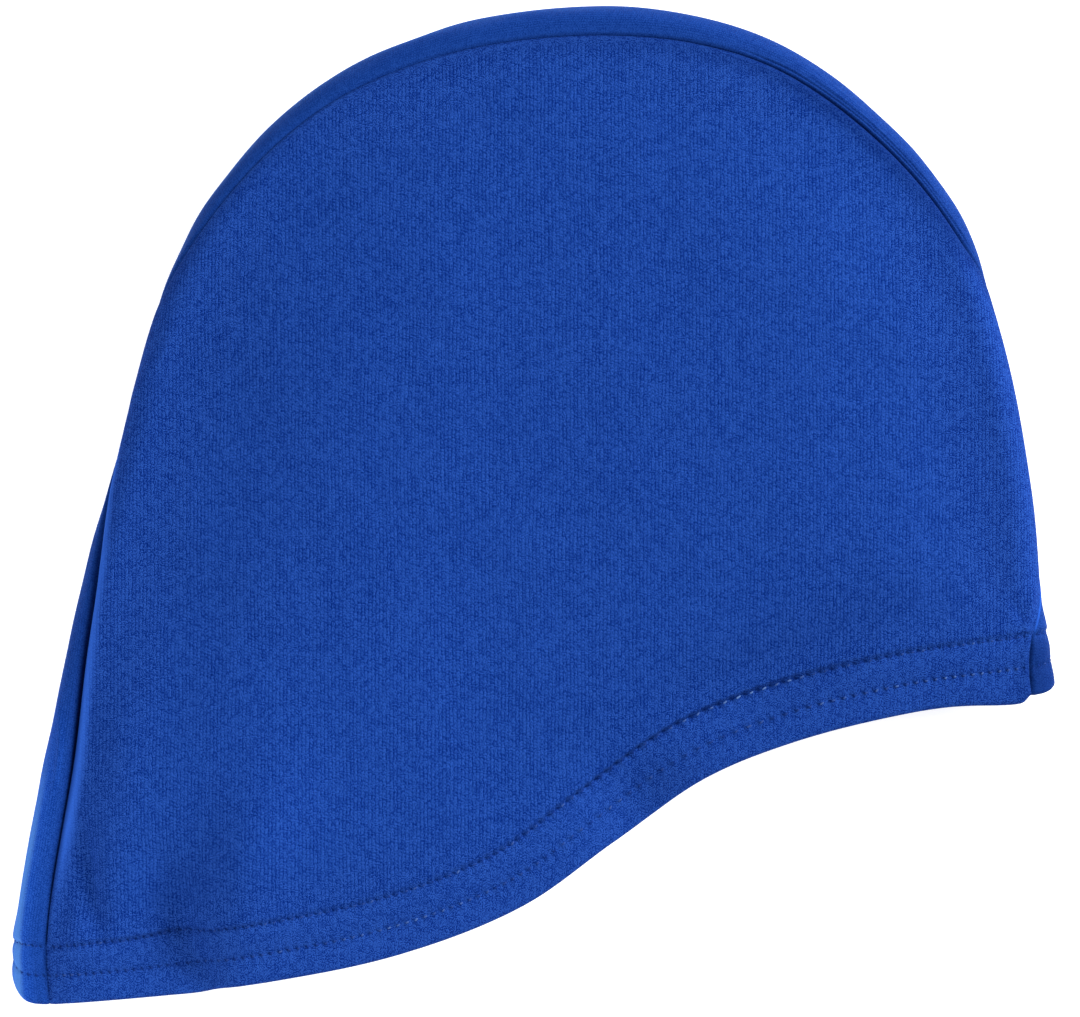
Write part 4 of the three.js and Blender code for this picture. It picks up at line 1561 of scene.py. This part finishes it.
def colour(red: int, green: int, blue: int) -> tuple[float, float, float, float]:
    """A colour as it shows on a screen, made linear."""
    def linear(part: int) -> float:
        """One channel made linear."""
        share = part / 255
        return share / 12.92 if share <= 0.04045 else ((share + 0.055) / 1.055) ** 2.4
    return (linear(red), linear(green), linear(blue), 1.0)


def brighter(tint: tuple, times: float) -> tuple[float, float, float, float]:
    """A colour made so many times as bright."""
    return tuple(min(times * part, 1.0) for part in tint[:3]) + (1.0,)


class ClothPlaces:
    """Where a material is on the cloth: its grain, the stitching's coordinates and the seam's."""

    def __init__(self, wiring: Wiring) -> None:
        """Reads the coordinates that the cloth's mesh carries."""
        self.grain, self.stitching = wiring.laid("grain"), wiring.laid("stitching")
        self.x, self.y = wiring.split(self.grain)
        self.from_edge = wiring.split(self.stitching)[1]
        self.from_seam, self.gape = wiring.split(wiring.laid("seam"))


@dataclass(frozen=True)
class PaintedEdgeLight:
    """Painted light on a side panel's edge beside the strip, above the nape: paler cloth there."""

    back: Fade = Fade(-82.0, -70.0, 1.0, 0.0)
    below_crown: Fade = Fade(5.0, 30.0, 1.0, 0.0)
    above_nape: Fade = Fade(-88.0, -64.0)
    from_seam: Fade = Fade(1.3, 3.8, 0.85, 0.0)
    times: float = 1.5


@dataclass(frozen=True)
class StripEnds:
    """The strip's ends, by the run from the forehead and the way across from the upper seam.

    The forehead's hem gets painted shade, with a painted highlight on the crease above it. The nape gets
    painted light, strongest as a painted highlight on the rim.
    """

    # Painted shade at the forehead's hem.
    forehead_shade: Fade = Fade(9.0, 15.0, 0.45, 0.0)
    # Painted highlight on the crease above the forehead's hem.
    crease_highlight_start: Fade = Fade(12.5, 14.5)
    crease_highlight_end: Fade = Fade(20.0, 26.0, 0.75, 0.0)
    crease_highlight_from_seam: Fade = Fade(0.35, 0.7, 1.0, 0.0)
    crease_highlight_times: float = 2.0
    # Painted light at the nape, fuller towards the rim.
    nape: Fade = Fade(385.0, 425.0, 0.0, 0.5)
    nape_light_across: Fade = Fade(1.5, 6.0, 0.35, 1.0)
    nape_light_times: float = 2.7
    # Painted highlight on the nape's rim, in a pale tint.
    wear_and_rim_highlight: Fade = Fade(405.0, 435.0, 0.0, 0.62)
    rim_highlight_from: Fade = Fade(5.0, 6.8)
    rim_highlight_to: Fade = Fade(7.5, 11.0, 1.0, 0.0)
    rim_highlight_tint: tuple = colour(78, 130, 200)


@dataclass(frozen=True)
class KnitFinish:
    """Knitted cloth: its colours in the hollows and on the loops, the size of its loops and its sheen.

    Wale and course are the loops' width and height, and relief their depth, in millimetres. Shades are shares
    of painted shade, which mixes towards the darkened hollow's colour.
    """

    name: str
    hollow: tuple
    loop: tuple
    wale: float
    course: float
    speckle: float
    relief: float
    sheen: float
    roughness: float = 0.86
    # The seam, roll, groove and tight-seam fields set painted shade in and beside the seams; row_shade and
    # hole_shade set painted shade at the stitches.
    seam_shade: float = 0.0
    roll_width: float = 1.1
    # Painted light on the side panel's edge above the nape.
    drawn: PaintedEdgeLight | None = None
    ends: StripEnds | None = None
    loops_past_seam: Fade = Fade(0.6, 2.6, 0.15, 1.0)
    loops_past_hem: Fade = Fade(HEM_DEPTH, HEM_DEPTH + 1.0, 0.55, 1.0)
    cloud_scale: float = 0.035
    cloud: float = 0.2
    darkening: float = 0.45
    row_shade: float = 0.08
    hole_shade: float = 0.62
    roll_start: float = 0.15
    least_roll_width: float = 0.6
    roll_shade: float = 0.07
    open_roll_shade: float = 0.5
    groove_floor: Fade = Fade(0.3, 0.9, 0.7, 0.0)
    open_seam: Fade = Fade(0.45, 0.8)
    tight_seam: Fade = Fade(0.12, 0.4, 0.2, 1.0)
    seam_shade_start: float = 0.3
    seam_shade_end: float = 5.5
    loop_gloss: float = 0.08
    shine: float = 0.02
    sheen_roughness: float = 0.3
    sheen_tint: tuple = colour(70, 150, 250)

    def make(self, knit: bpy.types.NodeTree, needle: bpy.types.NodeTree) -> bpy.types.Material:
        """Makes the material from the shared patterns."""
        material, wiring = new_material(self.name)
        cloth = ClothPlaces(wiring)
        past_seam = wiring.fade(cloth.from_seam, self.loops_past_seam)
        past_hem = wiring.fade(cloth.from_edge, self.loops_past_hem)
        loops = wiring.group(knit, {
            "Grain": cloth.grain, "Wale": self.wale, "Course": self.course, "Speckle": self.speckle,
            "Clear": wiring.product(past_seam, past_hem),
        })
        holes = wiring.group(needle, {"Stitching": cloth.stitching})
        height = loops.outputs["Height"]
        cloud = wiring.centred_noise(cloth.grain, self.cloud_scale, 3.0)
        tone = wiring.math("MULTIPLY_ADD", cloud, self.cloud, loops.outputs["Tone"])
        # The colour of painted shade: the hollow's colour, darkened.
        dark = brighter(self.hollow, self.darkening)
        low_back = self._low_back(wiring, cloth)
        # Painted light at the strip's nape and on the side panel's edge, and painted shade and highlights at
        # the strip's ends.
        shade = wiring.mix(tone, *self._tints(wiring, cloth))
        shade = self._with_painted_edge_light(wiring, cloth, shade, low_back)
        shade = self._with_ends(wiring, cloth, shade, dark)
        # Painted shade in the needle holes and along each row of stitches.
        in_hole = wiring.product(holes.outputs["Hole"], self.hole_shade)
        stitch_shade = wiring.math("MULTIPLY_ADD", holes.outputs["Row"], self.row_shade, in_hole)
        shadow = wiring.math("MAXIMUM", self._seam_shadow(wiring, cloth, low_back), stitch_shade)
        bump = wiring.node("ShaderNodeBump", {
            "Strength": 1.0, "Distance": self.relief * MM, "Height": height,
        })
        wiring.surface({
            "Base Color": wiring.mix(shadow, shade, dark),
            "Roughness": wiring.math("MULTIPLY_ADD", height, -self.loop_gloss, self.roughness),
            "Normal": bump.outputs[0], "Specular IOR Level": self.shine, "Sheen Weight": self.sheen,
            "Sheen Roughness": self.sheen_roughness, "Sheen Tint": self.sheen_tint,
        })
        return material

    def _tints(self, wiring: Wiring, cloth: ClothPlaces) -> tuple[object, object]:
        """The colours of the hollows and of the loops, both with painted light at the strip's nape."""
        ends = self.ends
        if ends is None:
            return self.hollow, self.loop
        nape = wiring.product(wiring.fade(cloth.y, ends.nape), wiring.fade(cloth.x, ends.nape_light_across))
        hollow, loop = (
            wiring.mix(nape, tint, brighter(tint, ends.nape_light_times)) for tint in (self.hollow, self.loop)
        )
        return hollow, loop

    def _low_back(self, wiring: Wiring, cloth: ClothPlaces) -> object:
        """How fully a place lies low on a side panel's back, from 0 to 1."""
        drawn = self.drawn
        if drawn is None:
            return 0.0
        return wiring.product(wiring.fade(cloth.y, drawn.below_crown), wiring.fade(cloth.x, drawn.back))

    def _with_painted_edge_light(self, wiring: Wiring, cloth: ClothPlaces, shade: object, low_back: object) -> object:
        """The shade, with painted light along the side panel's edge above the nape."""
        drawn = self.drawn
        if drawn is None:
            return shade
        near, above = wiring.fade(cloth.from_seam, drawn.from_seam), wiring.fade(cloth.y, drawn.above_nape)
        return wiring.mix(wiring.product(near, above, low_back), shade, brighter(self.loop, drawn.times))

    def _with_ends(self, wiring: Wiring, cloth: ClothPlaces, shade: object, dark: tuple) -> object:
        """The shade, with painted shade at the strip's forehead and painted highlights on its crease and on
        the nape's rim.
        """
        ends = self.ends
        if ends is None:
            return shade
        # Painted shade at the forehead's hem.
        shade = wiring.mix(wiring.fade(cloth.y, ends.forehead_shade), shade, dark)
        # Painted highlight on the crease above the forehead's hem.
        crease = wiring.product(
            wiring.fade(cloth.y, ends.crease_highlight_start), wiring.fade(cloth.y, ends.crease_highlight_end),
            wiring.fade(cloth.from_seam, ends.crease_highlight_from_seam),
        )
        shade = wiring.mix(crease, shade, brighter(self.loop, ends.crease_highlight_times))
        # Painted highlight on the nape's rim.
        wear_and_rim_highlight = wiring.product(
            wiring.fade(cloth.y, ends.wear_and_rim_highlight), wiring.fade(cloth.x, ends.rim_highlight_from),
            wiring.fade(cloth.x, ends.rim_highlight_to),
        )
        return wiring.mix(wear_and_rim_highlight, shade, ends.rim_highlight_tint)

    def _seam_shadow(self, wiring: Wiring, cloth: ClothPlaces, low_back: object) -> bpy.types.NodeSocket:
        """How much painted shade the cloth gets in the seam's groove and beside it."""
        gape_square = wiring.math("POWER", cloth.gape, 2.0)
        # Painted shade in the groove, wider and deeper where the seam gapes.
        width = wiring.math("MULTIPLY_ADD", cloth.gape, self.roll_width, self.least_roll_width)
        depth = wiring.math("MULTIPLY_ADD", gape_square, self.open_roll_shade, self.roll_shade)
        rolled = wiring.product(wiring.ramp(cloth.from_seam, self.roll_start, width, 1.0, 0.0), depth)
        floor = wiring.product(wiring.fade(cloth.from_seam, self.groove_floor), gape_square)
        # Painted shade beside a seam that gapes little, left out where the seam is slack or low on the back.
        slack = wiring.math("MAXIMUM", wiring.fade(cloth.gape, self.open_seam), low_back)
        tight = wiring.product(wiring.fade(cloth.gape, self.tight_seam), wiring.math("SUBTRACT", 1.0, slack))
        nearby = Fade(self.seam_shade_start, self.seam_shade_end, self.seam_shade, 0.0)
        beside = wiring.product(wiring.fade(cloth.from_seam, nearby), tight)
        return wiring.math("ADD", wiring.math("MAXIMUM", rolled, floor), beside)


@dataclass(frozen=True)
class ThreadFinish:
    """Sewing thread: painted shade where it sinks between the loops, and pale where it shows, partly its own
    colour and partly painted light, with fine fibres.
    """

    name: str = "sewing thread"
    deep: tuple = colour(12, 44, 118)
    pale: tuple = colour(104, 140, 198)
    fibre_scale: float = 2600.0
    fibre_shade: float = 0.3
    fibre_relief: float = 0.06
    roughness: float = 0.8
    shine: float = 0.05

    def make(self) -> bpy.types.Material:
        """Makes the material."""
        material, wiring = new_material(self.name)
        fibres = wiring.noise(wiring.node("ShaderNodeTexCoord").outputs["Object"], self.fibre_scale, 2.0)
        # Sunk thread gets painted shade; shown thread gets its own paler colour with painted light.
        shown = wiring.split(wiring.laid("shown"))[0]
        tone = wiring.math("MULTIPLY_ADD", wiring.math("SUBTRACT", fibres, 0.5), self.fibre_shade, shown)
        bump = wiring.node("ShaderNodeBump", {
            "Strength": 0.6, "Distance": self.fibre_relief * MM, "Height": fibres,
        })
        wiring.surface({
            "Base Color": wiring.mix(tone, self.deep, self.pale), "Roughness": self.roughness,
            "Normal": bump.outputs[0], "Specular IOR Level": self.shine,
        })
        return material


@dataclass(frozen=True)
class FloorFinish:
    """Plain pale board that the cap lies on, with a little light of its own as a product table has."""

    name: str = "pale board"
    pale: tuple = colour(249, 249, 250)
    # The board's darker cloudy tone.
    wear_and_rim_highlight: tuple = colour(243, 243, 245)
    cloud_scale: float = 6.0
    roughness: float = 0.9
    shine: float = 0.1
    glow: float = 0.6

    def make(self) -> bpy.types.Material:
        """Makes the material."""
        material, wiring = new_material(self.name)
        clouds = wiring.noise(wiring.node("ShaderNodeTexCoord").outputs["Object"], self.cloud_scale, 3.0)
        board = wiring.mix(clouds, self.pale, self.wear_and_rim_highlight)
        wiring.surface({
            "Base Color": board, "Roughness": self.roughness, "Specular IOR Level": self.shine,
            "Emission Color": board, "Emission Strength": self.glow,
        })
        return material


@dataclass(frozen=True)
class Lamp:
    """A round soft lamp that faces the cap."""

    name: str
    place: tuple
    size: float
    power: float

    def hang(self) -> None:
        """Adds the lamp."""
        data = bpy.data.lights.new(self.name, "AREA")
        data.shape = "DISK"
        data.size = self.size
        data.energy = self.power
        lamp = bpy.data.objects.new(self.name, data)
        lamp.location = self.place
        lamp.rotation_euler = (-Vector(self.place)).to_track_quat("-Z", "Y").to_euler()
        lamp.visible_camera = False
        bpy.context.collection.objects.link(lamp)


@dataclass
class Studio:
    """The pale floor, the soft light and the camera straight above the cap."""

    floor_size: float = 6.0
    sky: float = 0.4
    lamps: tuple = (
        Lamp("key", (1.95, 1.2, 1.3), 2.0, 135.0),
        Lamp("fill", (-0.42, -0.3, 0.27), 0.3, 2.0),
    )
    lens: float = 135.0
    sensor: float = 36.0
    view_width: float = 0.2268
    view_middle: tuple = (0.0014, -0.0007)
    view_height: float = 0.007

    def build(self) -> None:
        """Sets up the floor, the light and the camera."""
        bpy.ops.object.select_all(action="DESELECT")
        bpy.ops.mesh.primitive_plane_add(size=self.floor_size, location=(0.0, 0.0, 0.0))
        floor = bpy.context.object
        floor.name = "floor"
        floor.data.materials.append(FloorFinish().make())

        world = bpy.data.worlds.new("studio")
        world.use_nodes = True
        background = world.node_tree.nodes["Background"]
        background.inputs["Color"].default_value = (1.0, 1.0, 1.0, 1.0)
        wiring = Wiring(world.node_tree)
        seen = wiring.node("ShaderNodeLightPath").outputs["Is Camera Ray"]
        strength = wiring.math("MULTIPLY_ADD", seen, 1.0 - self.sky, self.sky)
        wiring.feed(background.inputs["Strength"], strength)
        bpy.context.scene.world = world

        for lamp in self.lamps:
            lamp.hang()

        camera = bpy.data.cameras.new("camera")
        camera.lens = self.lens
        camera.sensor_width = self.sensor
        camera.clip_start = 0.01
        eye = bpy.data.objects.new("camera", camera)
        height = self.view_width * self.lens / self.sensor + self.view_height
        eye.location = (*self.view_middle, height)
        bpy.context.collection.objects.link(eye)
        bpy.context.scene.camera = eye
        bpy.context.scene.view_settings.view_transform = "Standard"


SIDE_FINISH = KnitFinish(
    name="side knit", hollow=colour(0, 28, 101), loop=colour(34, 73, 154), wale=0.76, course=0.75,
    speckle=1.35, relief=0.09, sheen=0.08, seam_shade=0.5, drawn=PaintedEdgeLight(),
)
STRIP_FINISH = KnitFinish(
    name="strip knit", hollow=colour(4, 36, 104), loop=colour(24, 62, 138), wale=0.62, course=0.6,
    speckle=1.1, relief=0.06, sheen=0.3, roughness=0.7, seam_shade=0.15, roll_width=1.8, ends=StripEnds(),
)


def describe(obj: bpy.types.Object) -> None:
    """Logs a piece's triangles and its box in millimetres."""
    triangles = sum(len(face.vertices) - 2 for face in obj.data.polygons)
    corners = np.array([tuple(vertex.co) for vertex in obj.data.vertices]) / MM
    low, high = corners.min(axis=0).round(1).tolist(), corners.max(axis=0).round(1).tolist()
    LOG.info("%s: %d triangles, from %s to %s mm", obj.name, triangles, low, high)


def main() -> None:
    """Builds the cap, dresses it and sets the scene."""
    logging.basicConfig(level=logging.INFO, format="%(message)s")
    knit, needle = KnitPattern().make(), NeedleHoles().make()
    side_knit, strip_knit = SIDE_FINISH.make(knit, needle), STRIP_FINISH.make(knit, needle)
    thread = ThreadFinish().make()
    floats = HemThread()

    strip = CentrePanel()
    strip_cloth = strip.build("centre_panel_cloth")
    strip_stitches = floats.build("centre_panel_stitches", floats.on_strip(strip), SEED)
    pieces = [(
        strip_cloth, strip_stitches, strip_knit, "centre_panel", "strip_cloth", (0.025, 0.489), None,
        ["left_side_panel"],
    )]
    for side, rests_on in ((Side.RIGHT, ["centre_panel"]), (Side.LEFT, [])):
        panel = SidePanel(side)
        cloth = panel.build(f"{side.value}_cloth")
        stitches = floats.build(f"{side.value}_stitches", floats.on_side(panel), SEED + 1)
        pieces.append((
            cloth, stitches, side_knit, side.value, "side_cloth", (0.218, 0.205), 0.029, rests_on,
        ))

    for cloth, stitches, finish, node, slot, flat, area, rests_on in pieces:
        cloth.data.materials.append(finish)
        stitches.data.materials.append(thread)
        for piece in (cloth, stitches):
            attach(piece, "root")
            describe(piece)
        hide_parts(node)
    Studio().build()


if __name__ == "__main__":
    main()
